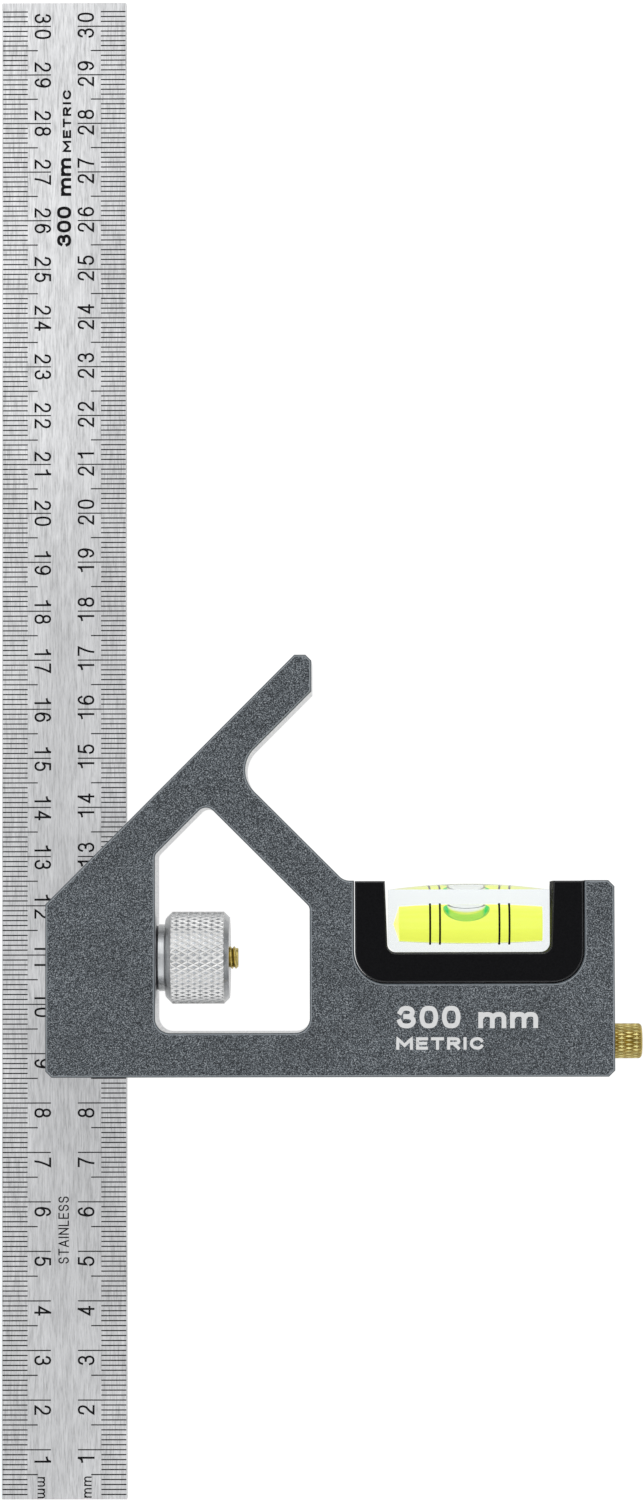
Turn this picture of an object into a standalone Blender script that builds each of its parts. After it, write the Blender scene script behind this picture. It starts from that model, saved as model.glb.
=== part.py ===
"""Combination square: a steel rule that slides in a milled stock, with its lock, level and scriber.

Every size below is in millimetres, measured from the stock's own corner: x runs along the
90 degree face from the stock's left end, y runs up from that face along the rule, and z is the
height above the stock's back face, on which the tool lies. The model is written in metres,
with its origin under the middle of the whole tool.
"""

import math

import bmesh
import bpy
from mathutils import Vector

MM = 0.001
SQRT2 = math.sqrt(2.0)

# Fits: clearance between flat faces, and between round ones.
FACE_GAP = 0.15
ROUND_GAP = 0.2

# Stock: a flat bar with a 45 degree arm, a window for the lock nut and a pocket for the level.
STOCK_LENGTH = 114.6
STOCK_THICKNESS = 19.0
BASE_HEIGHT = 39.5
MITRE_TOE_HEIGHT = 34.85
ARM_TOP_HEIGHT = 85.1
ARM_TIP_X = 53.7
ARM_TIP_CHAMFER = 1.2
ARM_WIDTH = 7.7
FRAME_WIDTH = 8.6
STRUT_FOOT_X = 60.15
STRUT_FOOT_RADIUS = 3.0
ARM_ROOT_RADIUS = 6.0
CORNER_CHAMFER = 1.25
STOCK_EDGE_CHAMFER = 0.4
WINDOW_LEFT_X = 22.1
WINDOW_RIGHT_X = 53.25
WINDOW_FLOOR_Y = 8.9
WINDOW_FLOOR_RADIUS = 3.0
WINDOW_APEX_RADIUS = 2.0
WINDOW_SHOULDER_RADIUS = 1.5
POCKET_LEFT_X = 62.15
POCKET_RIGHT_X = 108.5
POCKET_FLOOR_Y = 18.8
POCKET_RADIUS = 6.5
MID_Z = STOCK_THICKNESS / 2.0

# Rule: 12 inch blade with a groove along the middle of its back.
RULE_LENGTH = 304.8
RULE_WIDTH = 25.4
RULE_THICKNESS = 2.0
RULE_LEFT_X = -9.4
RULE_ZERO_Y = -85.4
RULE_RIGHT_X = RULE_LEFT_X + RULE_WIDTH
RULE_TOP_Y = RULE_ZERO_Y + RULE_LENGTH
RULE_BACK_Z = MID_Z - RULE_THICKNESS / 2.0
RULE_FRONT_Z = MID_Z + RULE_THICKNESS / 2.0
GROOVE_WIDTH = 3.2
GROOVE_DEPTH = 0.9
GROOVE_LEFT_X = RULE_LEFT_X + (RULE_WIDTH - GROOVE_WIDTH) / 2.0
GROOVE_RIGHT_X = GROOVE_LEFT_X + GROOVE_WIDTH

# Lock: a hooked bolt behind the rule, pulled into the window by a knurled nut.
LOCK_Y = 24.0
LOCK_BORE_RADIUS = 4.3
LOCK_BORE_END_X = 20.1
SHANK_RADIUS = 2.3
SHANK_HOLE_RADIUS = 2.7
BOLT_HEAD_RADIUS = LOCK_BORE_RADIUS - ROUND_GAP
HOOK_WIDTH = 1.9
HOOK_RIGHT_X = GROOVE_RIGHT_X - FACE_GAP
HOOK_LEFT_X = HOOK_RIGHT_X - HOOK_WIDTH
COLLAR_LEFT_X = 17.0
COLLAR_RIGHT_X = 18.0
BOLT_TIP_X = 38.65
BOLT_TIP_CHAMFER = 0.45
SPRING_WIRE_RADIUS = 0.25
SPRING_COIL_RADIUS = 3.3
SPRING_TURNS = 2.5
WASHER_RADIUS = 6.5
WASHER_THICKNESS = 0.4
NUT_NECK_RADIUS = 6.8
NUT_NECK_END_X = 23.6
NUT_RADIUS = 9.35
NUT_END_X = 36.9
NUT_CHAMFER = 1.15
NUT_SHOULDER_WIDTH = 0.4
NUT_BORE_RADIUS = SHANK_RADIUS + ROUND_GAP

# Level: a plastic saddle in the pocket, and a clear block with a barrel-shaped bore.
SADDLE_TOP_Y = 39.4
SADDLE_RECESS = 0.3
SADDLE_FLOOR_Y = 24.95
SADDLE_INNER_LEFT_X = 68.95
SADDLE_INNER_RIGHT_X = 101.75
SADDLE_DRAFT = 0.55
SADDLE_INNER_RADIUS = 1.8
SADDLE_EDGE_CHAMFER = 0.25
BLOCK_LEFT_X = 69.1
BLOCK_RIGHT_X = 101.6
BLOCK_FLOOR_Y = 25.1
BLOCK_SHOULDER_Y = 37.7
BLOCK_CROWN = 1.2
BLOCK_DEPTH = 15.0
BLOCK_CORNER_RADIUS = 1.8
VIAL_Y = 30.72
VIAL_MIDDLE_X = 85.6
VIAL_LEFT_X = 71.3
VIAL_RIGHT_X = 100.3
VIAL_CONE_LENGTH = 1.15
VIAL_MIDDLE_RADIUS = 4.0
VIAL_END_RADIUS = 3.55
RING_OFFSETS = (-8.03, -6.04, 5.97, 8.0)
RING_WIDTH = 0.34
RING_INNER_RADIUS = 4.0
RING_OUTER_RADIUS = 4.2
RING_GROOVE_CLEARANCE = 0.08
BUBBLE_X = 85.05
BUBBLE_LENGTH = 9.6
BUBBLE_DEPTH = 3.3
BUBBLE_WIDTH = 6.2

# Scriber: a needle in a knurled brass head, held by a bush in the stock's right end.
SCRIBER_Y = 6.95
NEEDLE_RADIUS = 1.2
NEEDLE_TIP_X = 57.5
NEEDLE_TAPER = 7.0
NEEDLE_END_X = 118.6
NEEDLE_BORE_RADIUS = 1.6
NEEDLE_BORE_END_X = 56.6
BUSH_LEFT_X = 105.4
BUSH_RIGHT_X = 114.45
BUSH_INNER_RADIUS = 1.4
BUSH_OUTER_RADIUS = 2.5
SCRIBER_HEAD_X = 114.8
SCRIBER_HEAD_END_X = 120.5
SCRIBER_HEAD_RADIUS = 3.55
SCRIBER_HEAD_CHAMFER = 0.8

# The model's origin: under the middle of the whole tool, on the face that it lies on.
CENTRE_X = (RULE_LEFT_X + SCRIBER_HEAD_END_X) / 2.0
CENTRE_Y = (RULE_ZERO_Y + RULE_TOP_Y) / 2.0


def clear_scene():
    """Remove every object that is already in the file."""
    for old in list(bpy.data.objects):
        bpy.data.objects.remove(old, do_unlink=True)


def make_material(name, colour, roughness, metallic):
    """A Principled material with one colour."""
    material = bpy.data.materials.new(name)
    material.use_nodes = True
    shader = material.node_tree.nodes["Principled BSDF"]
    shader.inputs["Base Color"].default_value = (*colour, 1.0)
    shader.inputs["Roughness"].default_value = roughness
    shader.inputs["Metallic"].default_value = metallic
    material.diffuse_color = (*colour, 1.0)
    return material


def arc_corner(before, corner, after, radius, steps):
    """Points that round the corner between two straight sides with an arc."""
    corner = Vector(corner)
    to_before = (Vector(before) - corner).normalized()
    to_after = (Vector(after) - corner).normalized()
    half_angle = to_before.angle(to_after) / 2.0
    centre = corner + (to_before + to_after).normalized() * (radius / math.sin(half_angle))
    start = corner + to_before * (radius / math.tan(half_angle)) - centre
    end = corner + to_after * (radius / math.tan(half_angle)) - centre
    sweep = start.angle(end)
    points = []
    for step in range(steps + 1):
        share = step / steps
        weight_start = math.sin((1.0 - share) * sweep) / math.sin(sweep)
        weight_end = math.sin(share * sweep) / math.sin(sweep)
        points.append(centre + start * weight_start + end * weight_end)
    return points


def rounded_outline(corners, steps=6):
    """Outline from (x, y, radius) corners; a radius of 0 keeps the corner sharp."""
    outline = []
    count = len(corners)
    for index, (x, y, radius) in enumerate(corners):
        if radius == 0.0:
            outline.append(Vector((x, y)))
            continue
        before = corners[index - 1][:2]
        after = corners[(index + 1) % count][:2]
        outline.extend(arc_corner(before, (x, y), after, radius, steps))
    return outline


def prism(outline, low, high, axis="Z"):
    """Extrude a flat outline: along Z from x-y points, or along Y from x-z points."""
    mesh = bmesh.new()

    def vertex(point, level):
        position = (point[0], point[1], level) if axis == "Z" else (point[0], level, point[1])
        return mesh.verts.new(position)

    lower = [vertex(point, low) for point in outline]
    upper = [vertex(point, high) for point in outline]
    count = len(outline)
    mesh.faces.new(lower)
    mesh.faces.new(upper)
    for index in range(count):
        following = (index + 1) % count
        mesh.faces.new((lower[index], lower[following], upper[following], upper[index]))
    bmesh.ops.recalc_face_normals(mesh, faces=mesh.faces)
    return mesh


def chamfer_rims(mesh, low, high, width):
    """Chamfer every edge that lies in the low or the high end plane of a prism."""
    near = 0.001
    rims = []
    for edge in mesh.edges:
        levels = [corner.co.z for corner in edge.verts]
        in_low = all(abs(level - low) < near for level in levels)
        in_high = all(abs(level - high) < near for level in levels)
        if in_low or in_high:
            rims.append(edge)
    bmesh.ops.bevel(mesh, geom=rims, offset=width, segments=1, affect="EDGES", clamp_overlap=False)


def turned(profile, y, z, segments=32, ring=False):
    """Turn a profile of (x, radius) points about an axis along x.

    A solid profile starts and ends on the axis; a ring profile is a closed loop around a hole.
    """
    mesh = bmesh.new()
    loops = []
    for x, radius in profile:
        if radius == 0.0:
            loops.append([mesh.verts.new((x, y, z))])
            continue
        loop = []
        for index in range(segments):
            angle = 2.0 * math.pi * index / segments
            loop.append(mesh.verts.new((x, y + radius * math.cos(angle), z + radius * math.sin(angle))))
        loops.append(loop)
    pairs = list(zip(loops, loops[1:]))
    if ring:
        pairs.append((loops[-1], loops[0]))
    for first, second in pairs:
        for index in range(segments):
            following = (index + 1) % segments
            if len(first) == 1:
                mesh.faces.new((first[0], second[index], second[following]))
            elif len(second) == 1:
                mesh.faces.new((first[index], second[0], first[following]))
            else:
                mesh.faces.new((first[index], second[index], second[following], first[following]))
    bmesh.ops.recalc_face_normals(mesh, faces=mesh.faces)
    return mesh


def place(name, mesh, origin, material=None, smooth=False):
    """Make an object from a mesh in millimetres, with its origin at a point of the tool."""
    for vertex in mesh.verts:
        vertex.co = (vertex.co - Vector(origin)) * MM
    data = bpy.data.meshes.new(name)
    mesh.to_mesh(data)
    mesh.free()
    if smooth:
        data.shade_smooth()
        data.set_sharp_from_angle(angle=math.radians(30.0))
    piece = bpy.data.objects.new(name, data)
    bpy.context.collection.objects.link(piece)
    piece.location = ((origin[0] - CENTRE_X) * MM, (origin[1] - CENTRE_Y) * MM, origin[2] * MM)
    if material:
        data.materials.append(material)
    return piece


def cut(piece, name, mesh):
    """Take a cutter's shape out of a piece."""
    cutter = place(name, mesh, (0.0, 0.0, 0.0))
    cutter.hide_render = True
    cutter.display_type = "WIRE"
    modifier = piece.modifiers.new(name, "BOOLEAN")
    modifier.operation = "DIFFERENCE"
    modifier.solver = "EXACT"
    modifier.object = cutter


def stock_corners():
    """Outer corners of the stock, anticlockwise from its lower left end."""
    arm_lower_rise = MITRE_TOE_HEIGHT - ARM_WIDTH * SQRT2
    strut_sum = STRUT_FOOT_X + BASE_HEIGHT
    arm_root_x = (strut_sum - arm_lower_rise) / 2.0
    return [
        (CORNER_CHAMFER, 0.0, 0.0),
        (STOCK_LENGTH - CORNER_CHAMFER, 0.0, 0.0),
        (STOCK_LENGTH, CORNER_CHAMFER, 0.0),
        (STOCK_LENGTH, BASE_HEIGHT - CORNER_CHAMFER, 0.0),
        (STOCK_LENGTH - CORNER_CHAMFER, BASE_HEIGHT, 0.0),
        (POCKET_RIGHT_X, BASE_HEIGHT, 0.0),
        (POCKET_RIGHT_X, POCKET_FLOOR_Y, POCKET_RADIUS),
        (POCKET_LEFT_X, POCKET_FLOOR_Y, POCKET_RADIUS),
        (POCKET_LEFT_X, BASE_HEIGHT, 0.0),
        (STRUT_FOOT_X, BASE_HEIGHT, STRUT_FOOT_RADIUS),
        (arm_root_x, strut_sum - arm_root_x, ARM_ROOT_RADIUS),
        (ARM_TIP_X, ARM_TIP_X + arm_lower_rise, 0.0),
        (ARM_TIP_X, ARM_TOP_HEIGHT - ARM_TIP_CHAMFER, 0.0),
        (ARM_TIP_X - ARM_TIP_CHAMFER, ARM_TOP_HEIGHT, 0.0),
        (ARM_TOP_HEIGHT - MITRE_TOE_HEIGHT, ARM_TOP_HEIGHT, 0.0),
        (0.0, MITRE_TOE_HEIGHT, 0.0),
        (0.0, CORNER_CHAMFER, 0.0),
    ]


def window_corners(grow):
    """Corners of the window, moved outwards by grow on every side."""
    left_rise = MITRE_TOE_HEIGHT - (FRAME_WIDTH - grow) * SQRT2
    right_sum = STRUT_FOOT_X + BASE_HEIGHT - (FRAME_WIDTH - grow) * SQRT2
    left = WINDOW_LEFT_X - grow
    right = WINDOW_RIGHT_X + grow
    floor = WINDOW_FLOOR_Y - grow
    apex_x = (right_sum - left_rise) / 2.0
    return [
        (left, floor, WINDOW_FLOOR_RADIUS + grow),
        (right, floor, WINDOW_FLOOR_RADIUS + grow),
        (right, right_sum - right, WINDOW_SHOULDER_RADIUS + grow),
        (apex_x, apex_x + left_rise, WINDOW_APEX_RADIUS + grow),
        (left, left + left_rise, WINDOW_SHOULDER_RADIUS + grow),
    ]


def window_cutter():
    """The window's through hole, with a chamfered rim at both faces of the stock."""
    past = 1.0
    levels = (
        (-past, STOCK_EDGE_CHAMFER + past),
        (STOCK_EDGE_CHAMFER, 0.0),
        (STOCK_THICKNESS - STOCK_EDGE_CHAMFER, 0.0),
        (STOCK_THICKNESS + past, STOCK_EDGE_CHAMFER + past),
    )
    mesh = bmesh.new()
    loops = []
    for z, grow in levels:
        outline = rounded_outline(window_corners(grow))
        loops.append([mesh.verts.new((point.x, point.y, z)) for point in outline])
    mesh.faces.new(loops[0])
    mesh.faces.new(loops[-1])
    for first, second in zip(loops, loops[1:]):
        for index in range(len(first)):
            following = (index + 1) % len(first)
            mesh.faces.new((first[index], first[following], second[following], second[index]))
    bmesh.ops.recalc_face_normals(mesh, faces=mesh.faces)
    return mesh


def make_stock(material):
    """The stock, with its window, the rule's slot, the lock's bore and the scriber's bore."""
    body = prism(rounded_outline(stock_corners()), 0.0, STOCK_THICKNESS)
    chamfer_rims(body, 0.0, STOCK_THICKNESS, STOCK_EDGE_CHAMFER)
    stock = place("stock", body, (0.0, 0.0, 0.0), material)
    cut(stock, "window_cutter", window_cutter())

    past = 2.0
    slot_low = RULE_BACK_Z - FACE_GAP
    slot_high = RULE_FRONT_Z + FACE_GAP
    slot_end = RULE_RIGHT_X + FACE_GAP
    slot = [(-past, slot_low), (slot_end, slot_low), (slot_end, slot_high), (-past, slot_high)]
    cut(stock, "slot_cutter", prism(slot, -past, ARM_TOP_HEIGHT + past, axis="Y"))

    lock_bore = [
        (-past, 0.0),
        (-past, LOCK_BORE_RADIUS),
        (LOCK_BORE_END_X, LOCK_BORE_RADIUS),
        (LOCK_BORE_END_X, SHANK_HOLE_RADIUS),
        (WINDOW_LEFT_X + past, SHANK_HOLE_RADIUS),
        (WINDOW_LEFT_X + past, 0.0),
    ]
    cut(stock, "lock_bore_cutter", turned(lock_bore, LOCK_Y, MID_Z))

    seat_radius = BUSH_OUTER_RADIUS + ROUND_GAP
    scriber_bore = [
        (NEEDLE_BORE_END_X - NEEDLE_BORE_RADIUS / 2.0, 0.0),
        (NEEDLE_BORE_END_X, NEEDLE_BORE_RADIUS),
        (BUSH_LEFT_X - FACE_GAP, NEEDLE_BORE_RADIUS),
        (BUSH_LEFT_X - FACE_GAP, seat_radius),
        (STOCK_LENGTH + past, seat_radius),
        (STOCK_LENGTH + past, 0.0),
    ]
    cut(stock, "scriber_bore_cutter", turned(scriber_bore, SCRIBER_Y, MID_Z, segments=24))


def make_rule(material):
    """The rule, with the groove along its back that the lock bolt's hook runs in."""
    section = [
        (RULE_LEFT_X, RULE_BACK_Z),
        (GROOVE_LEFT_X, RULE_BACK_Z),
        (GROOVE_LEFT_X, RULE_BACK_Z + GROOVE_DEPTH),
        (GROOVE_RIGHT_X, RULE_BACK_Z + GROOVE_DEPTH),
        (GROOVE_RIGHT_X, RULE_BACK_Z),
        (RULE_RIGHT_X, RULE_BACK_Z),
        (RULE_RIGHT_X, RULE_FRONT_Z),
        (RULE_LEFT_X, RULE_FRONT_Z),
    ]
    zero_end = (RULE_LEFT_X + RULE_WIDTH / 2.0, RULE_ZERO_Y, MID_Z)
    place("rule", prism(section, RULE_ZERO_Y, RULE_TOP_Y, axis="Y"), zero_end, material)


def make_lock_bolt(material):
    """The lock bolt: a half-round head behind the rule, its hook, a collar and a shank."""
    profile = [
        (HOOK_LEFT_X, 0.0),
        (HOOK_LEFT_X, BOLT_HEAD_RADIUS),
        (COLLAR_RIGHT_X, BOLT_HEAD_RADIUS),
        (COLLAR_RIGHT_X, SHANK_RADIUS),
        (BOLT_TIP_X - BOLT_TIP_CHAMFER, SHANK_RADIUS),
        (BOLT_TIP_X, SHANK_RADIUS - BOLT_TIP_CHAMFER),
        (BOLT_TIP_X, 0.0),
    ]
    axis_point = (COLLAR_RIGHT_X, LOCK_Y, MID_Z)
    bolt = place("lock_bolt", turned(profile, LOCK_Y, MID_Z), axis_point, material, smooth=True)
    past = 1.0
    flat_z = RULE_BACK_Z - FACE_GAP
    hook_top_z = RULE_BACK_Z + GROOVE_DEPTH - FACE_GAP
    rule_space = [
        (COLLAR_LEFT_X, flat_z),
        (COLLAR_LEFT_X, STOCK_THICKNESS),
        (HOOK_LEFT_X - past, STOCK_THICKNESS),
        (HOOK_LEFT_X - past, hook_top_z),
        (HOOK_RIGHT_X, hook_top_z),
        (HOOK_RIGHT_X, flat_z),
    ]
    low_y = LOCK_Y - LOCK_BORE_RADIUS - past
    high_y = LOCK_Y + LOCK_BORE_RADIUS + past
    cut(bolt, "bolt_flat_cutter", prism(rule_space, low_y, high_y, axis="Y"))


def make_lock_spring(material):
    """A short coil spring between the bolt's collar and the end of its bore."""
    steps_per_turn = 20
    wire_sides = 6
    low_x = COLLAR_RIGHT_X + FACE_GAP + SPRING_WIRE_RADIUS
    high_x = LOCK_BORE_END_X - FACE_GAP - SPRING_WIRE_RADIUS
    steps = int(SPRING_TURNS * steps_per_turn)
    mesh = bmesh.new()
    loops = []
    for step in range(steps + 1):
        angle = 2.0 * math.pi * step / steps_per_turn
        centre_x = low_x + (high_x - low_x) * step / steps
        outward = Vector((0.0, math.cos(angle), math.sin(angle)))
        centre = Vector((centre_x, LOCK_Y, MID_Z)) + outward * SPRING_COIL_RADIUS
        loop = []
        for side in range(wire_sides):
            turn = 2.0 * math.pi * side / wire_sides
            offset = outward * math.cos(turn) + Vector((1.0, 0.0, 0.0)) * math.sin(turn)
            loop.append(mesh.verts.new(centre + offset * SPRING_WIRE_RADIUS))
        loops.append(loop)
    mesh.faces.new(loops[0])
    mesh.faces.new(loops[-1])
    for first, second in zip(loops, loops[1:]):
        for side in range(wire_sides):
            following = (side + 1) % wire_sides
            mesh.faces.new((first[side], first[following], second[following], second[side]))
    bmesh.ops.recalc_face_normals(mesh, faces=mesh.faces)
    place("lock_spring", mesh, (LOCK_BORE_END_X, LOCK_Y, MID_Z), material, smooth=True)


def make_lock_washer(material):
    """A flat washer between the nut and the window's wall."""
    low_x = WINDOW_LEFT_X + FACE_GAP
    high_x = low_x + WASHER_THICKNESS
    profile = [
        (low_x, SHANK_HOLE_RADIUS),
        (low_x, WASHER_RADIUS),
        (high_x, WASHER_RADIUS),
        (high_x, SHANK_HOLE_RADIUS),
    ]
    mesh = turned(profile, LOCK_Y, MID_Z, ring=True)
    place("lock_washer", mesh, (low_x, LOCK_Y, MID_Z), material, smooth=True)


def make_lock_nut(material):
    """The thumb nut: a neck, a shoulder and a chamfered barrel."""
    neck_x = WINDOW_LEFT_X + FACE_GAP + WASHER_THICKNESS + FACE_GAP
    face_radius = NUT_RADIUS - NUT_CHAMFER
    barrel_x = NUT_NECK_END_X + NUT_SHOULDER_WIDTH + NUT_CHAMFER
    profile = [
        (neck_x, NUT_BORE_RADIUS),
        (neck_x, NUT_NECK_RADIUS),
        (NUT_NECK_END_X, NUT_NECK_RADIUS),
        (NUT_NECK_END_X + NUT_SHOULDER_WIDTH, face_radius),
        (barrel_x, NUT_RADIUS),
        (NUT_END_X - NUT_CHAMFER, NUT_RADIUS),
        (NUT_END_X, face_radius),
        (NUT_END_X, NUT_BORE_RADIUS),
    ]
    mesh = turned(profile, LOCK_Y, MID_Z, segments=48, ring=True)
    place("lock_nut", mesh, (neck_x, LOCK_Y, MID_Z), material, smooth=True)


def make_vial_holder(material):
    """The saddle that fills the pocket and carries the level, open at the top."""
    outer_left = POCKET_LEFT_X + ROUND_GAP
    outer_right = POCKET_RIGHT_X - ROUND_GAP
    outer_floor = POCKET_FLOOR_Y + ROUND_GAP
    outer_radius = POCKET_RADIUS - ROUND_GAP
    outline = rounded_outline([
        (outer_left, SADDLE_TOP_Y, 0.0),
        (outer_left, outer_floor, outer_radius),
        (outer_right, outer_floor, outer_radius),
        (outer_right, SADDLE_TOP_Y, 0.0),
        (SADDLE_INNER_RIGHT_X + SADDLE_DRAFT, SADDLE_TOP_Y, 0.0),
        (SADDLE_INNER_RIGHT_X, SADDLE_FLOOR_Y, SADDLE_INNER_RADIUS),
        (SADDLE_INNER_LEFT_X, SADDLE_FLOOR_Y, SADDLE_INNER_RADIUS),
        (SADDLE_INNER_LEFT_X - SADDLE_DRAFT, SADDLE_TOP_Y, 0.0),
    ])
    low = SADDLE_RECESS
    high = STOCK_THICKNESS - SADDLE_RECESS
    mesh = prism(outline, low, high)
    chamfer_rims(mesh, low, high, SADDLE_EDGE_CHAMFER)
    place("vial_holder", mesh, (outer_left, outer_floor, 0.0), material)


def barrel_radius(x):
    """Radius of the vial's bore, widest at its middle."""
    half_length = (VIAL_RIGHT_X - VIAL_LEFT_X) / 2.0
    share = (x - VIAL_MIDDLE_X) / half_length
    return VIAL_MIDDLE_RADIUS - (VIAL_MIDDLE_RADIUS - VIAL_END_RADIUS) * share * share


def barrel_profile(shrink):
    """Profile of the vial's cone and barrel, made smaller all round by shrink."""
    stations = 14
    left = VIAL_LEFT_X + shrink / 2.0
    right = VIAL_RIGHT_X - shrink
    profile = [(VIAL_LEFT_X - VIAL_CONE_LENGTH + shrink, 0.0)]
    for station in range(stations + 1):
        x = left + (right - left) * station / stations
        profile.append((x, barrel_radius(x) - shrink))
    return profile


def grooved_profile():
    """Profile of the block's bore: the barrel, with a groove for each ring."""
    half_width = RING_WIDTH / 2.0 + RING_GROOVE_CLEARANCE
    groove_radius = RING_OUTER_RADIUS + RING_GROOVE_CLEARANCE
    profile = barrel_profile(0.0)
    for offset in RING_OFFSETS:
        low = VIAL_MIDDLE_X + offset - half_width
        high = VIAL_MIDDLE_X + offset + half_width
        profile = [point for point in profile if not low - half_width < point[0] < high + half_width]
        profile += [(low, barrel_radius(low)), (low, groove_radius)]
        profile += [(high, groove_radius), (high, barrel_radius(high))]
    profile.sort(key=lambda point: point[0])
    return profile


def make_vial_block(material):
    """The clear block: rounded lower corners, a crowned top and the barrel bore."""
    arc_steps = 4
    crown_stations = 14
    crown_rows = 8
    low_z = MID_Z - BLOCK_DEPTH / 2.0
    radius = BLOCK_CORNER_RADIUS
    sections = []
    for step in range(arc_steps + 1):
        angle = math.radians(90.0) * step / arc_steps
        sections.append((BLOCK_LEFT_X + radius - radius * math.cos(angle), radius - radius * math.sin(angle)))
    straight = BLOCK_RIGHT_X - BLOCK_LEFT_X - 2.0 * radius
    for step in range(1, crown_stations):
        sections.append((BLOCK_LEFT_X + radius + straight * step / crown_stations, 0.0))
    middle = (BLOCK_LEFT_X + BLOCK_RIGHT_X) / 2.0
    for x, lift in reversed(sections[:arc_steps + 1]):
        sections.append((2.0 * middle - x, lift))

    mesh = bmesh.new()
    loops = []
    half_length = (BLOCK_RIGHT_X - BLOCK_LEFT_X) / 2.0
    for x, lift in sections:
        along = 1.0 - ((x - middle) / half_length) ** 2
        loop = []
        for row in range(crown_rows + 1):
            share = 2.0 * row / crown_rows - 1.0
            height = BLOCK_SHOULDER_Y + BLOCK_CROWN * along * (1.0 - share * share)
            loop.append(mesh.verts.new((x, height, low_z + BLOCK_DEPTH * row / crown_rows)))
        loop.append(mesh.verts.new((x, BLOCK_FLOOR_Y + lift, low_z + BLOCK_DEPTH)))
        loop.append(mesh.verts.new((x, BLOCK_FLOOR_Y + lift, low_z)))
        loops.append(loop)
    mesh.faces.new(loops[0])
    mesh.faces.new(loops[-1])
    for first, second in zip(loops, loops[1:]):
        for index in range(len(first)):
            following = (index + 1) % len(first)
            mesh.faces.new((first[index], first[following], second[following], second[index]))
    bmesh.ops.recalc_face_normals(mesh, faces=mesh.faces)
    block = place("vial_block", mesh, (BLOCK_LEFT_X, VIAL_Y, MID_Z), material)

    past = 1.0
    bore = grooved_profile()
    bore.append((BLOCK_RIGHT_X + past, VIAL_END_RADIUS))
    bore.append((BLOCK_RIGHT_X + past, 0.0))
    cut(block, "vial_bore_cutter", turned(bore, VIAL_Y, MID_Z))


def make_vial_liquid(material):
    """The liquid, with the bubble as a hollow that is open at the top of the bore."""
    profile = barrel_profile(FACE_GAP)
    profile.append((VIAL_RIGHT_X - FACE_GAP, 0.0))
    axis_point = (VIAL_LEFT_X, VIAL_Y, MID_Z)
    liquid = place("vial_liquid", turned(profile, VIAL_Y, MID_Z), axis_point, material, smooth=True)
    bubble = bmesh.new()
    bmesh.ops.create_uvsphere(bubble, u_segments=24, v_segments=12, radius=1.0)
    size = Vector((BUBBLE_LENGTH / 2.0, BUBBLE_DEPTH, BUBBLE_WIDTH / 2.0))
    centre = Vector((BUBBLE_X, VIAL_Y + VIAL_MIDDLE_RADIUS, MID_Z))
    for vertex in bubble.verts:
        vertex.co = centre + vertex.co * size
    cut(liquid, "bubble_cutter", bubble)


def make_vial_plug(material):
    """The disc that closes the vial's bore at its right end."""
    low_x = VIAL_RIGHT_X + FACE_GAP / 2.0
    high_x = BLOCK_RIGHT_X - FACE_GAP / 2.0
    radius = VIAL_END_RADIUS - FACE_GAP
    profile = [(low_x, 0.0), (low_x, radius), (high_x, radius), (high_x, 0.0)]
    place("vial_plug", turned(profile, VIAL_Y, MID_Z), (low_x, VIAL_Y, MID_Z), material, smooth=True)


def make_vial_rings(material):
    """The black rings that the bubble is read against, each in a groove of the bore."""
    for number, offset in enumerate(RING_OFFSETS, start=1):
        centre_x = VIAL_MIDDLE_X + offset
        low_x = centre_x - RING_WIDTH / 2.0
        high_x = centre_x + RING_WIDTH / 2.0
        profile = [
            (low_x, RING_INNER_RADIUS),
            (low_x, RING_OUTER_RADIUS),
            (high_x, RING_OUTER_RADIUS),
            (high_x, RING_INNER_RADIUS),
        ]
        mesh = turned(profile, VIAL_Y, MID_Z, ring=True)
        place(f"vial_ring_{number}", mesh, (centre_x, VIAL_Y, MID_Z), material, smooth=True)


def make_scriber(brass, steel):
    """The scriber's needle and head, and the bush that grips the needle."""
    needle_profile = [
        (NEEDLE_TIP_X, 0.0),
        (NEEDLE_TIP_X + NEEDLE_TAPER, NEEDLE_RADIUS),
        (NEEDLE_END_X, NEEDLE_RADIUS),
        (NEEDLE_END_X, 0.0),
    ]
    axis_point = (SCRIBER_HEAD_X, SCRIBER_Y, MID_Z)
    needle = turned(needle_profile, SCRIBER_Y, MID_Z, segments=20)
    place("scriber_needle", needle, axis_point, steel, smooth=True)

    socket_radius = NEEDLE_RADIUS + ROUND_GAP
    socket_end = NEEDLE_END_X + ROUND_GAP
    head_profile = [
        (socket_end, 0.0),
        (socket_end, socket_radius),
        (SCRIBER_HEAD_X, socket_radius),
        (SCRIBER_HEAD_X, SCRIBER_HEAD_RADIUS),
        (SCRIBER_HEAD_END_X - SCRIBER_HEAD_CHAMFER, SCRIBER_HEAD_RADIUS),
        (SCRIBER_HEAD_END_X, SCRIBER_HEAD_RADIUS - SCRIBER_HEAD_CHAMFER),
        (SCRIBER_HEAD_END_X, 0.0),
    ]
    head = turned(head_profile, SCRIBER_Y, MID_Z, segments=40)
    place("scriber_head", head, axis_point, brass, smooth=True)

    bush_profile = [
        (BUSH_LEFT_X, BUSH_INNER_RADIUS),
        (BUSH_LEFT_X, BUSH_OUTER_RADIUS),
        (BUSH_RIGHT_X, BUSH_OUTER_RADIUS),
        (BUSH_RIGHT_X, BUSH_INNER_RADIUS),
    ]
    bush = turned(bush_profile, SCRIBER_Y, MID_Z, segments=24, ring=True)
    place("scriber_bush", bush, (BUSH_LEFT_X, SCRIBER_Y, MID_Z), brass, smooth=True)


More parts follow.
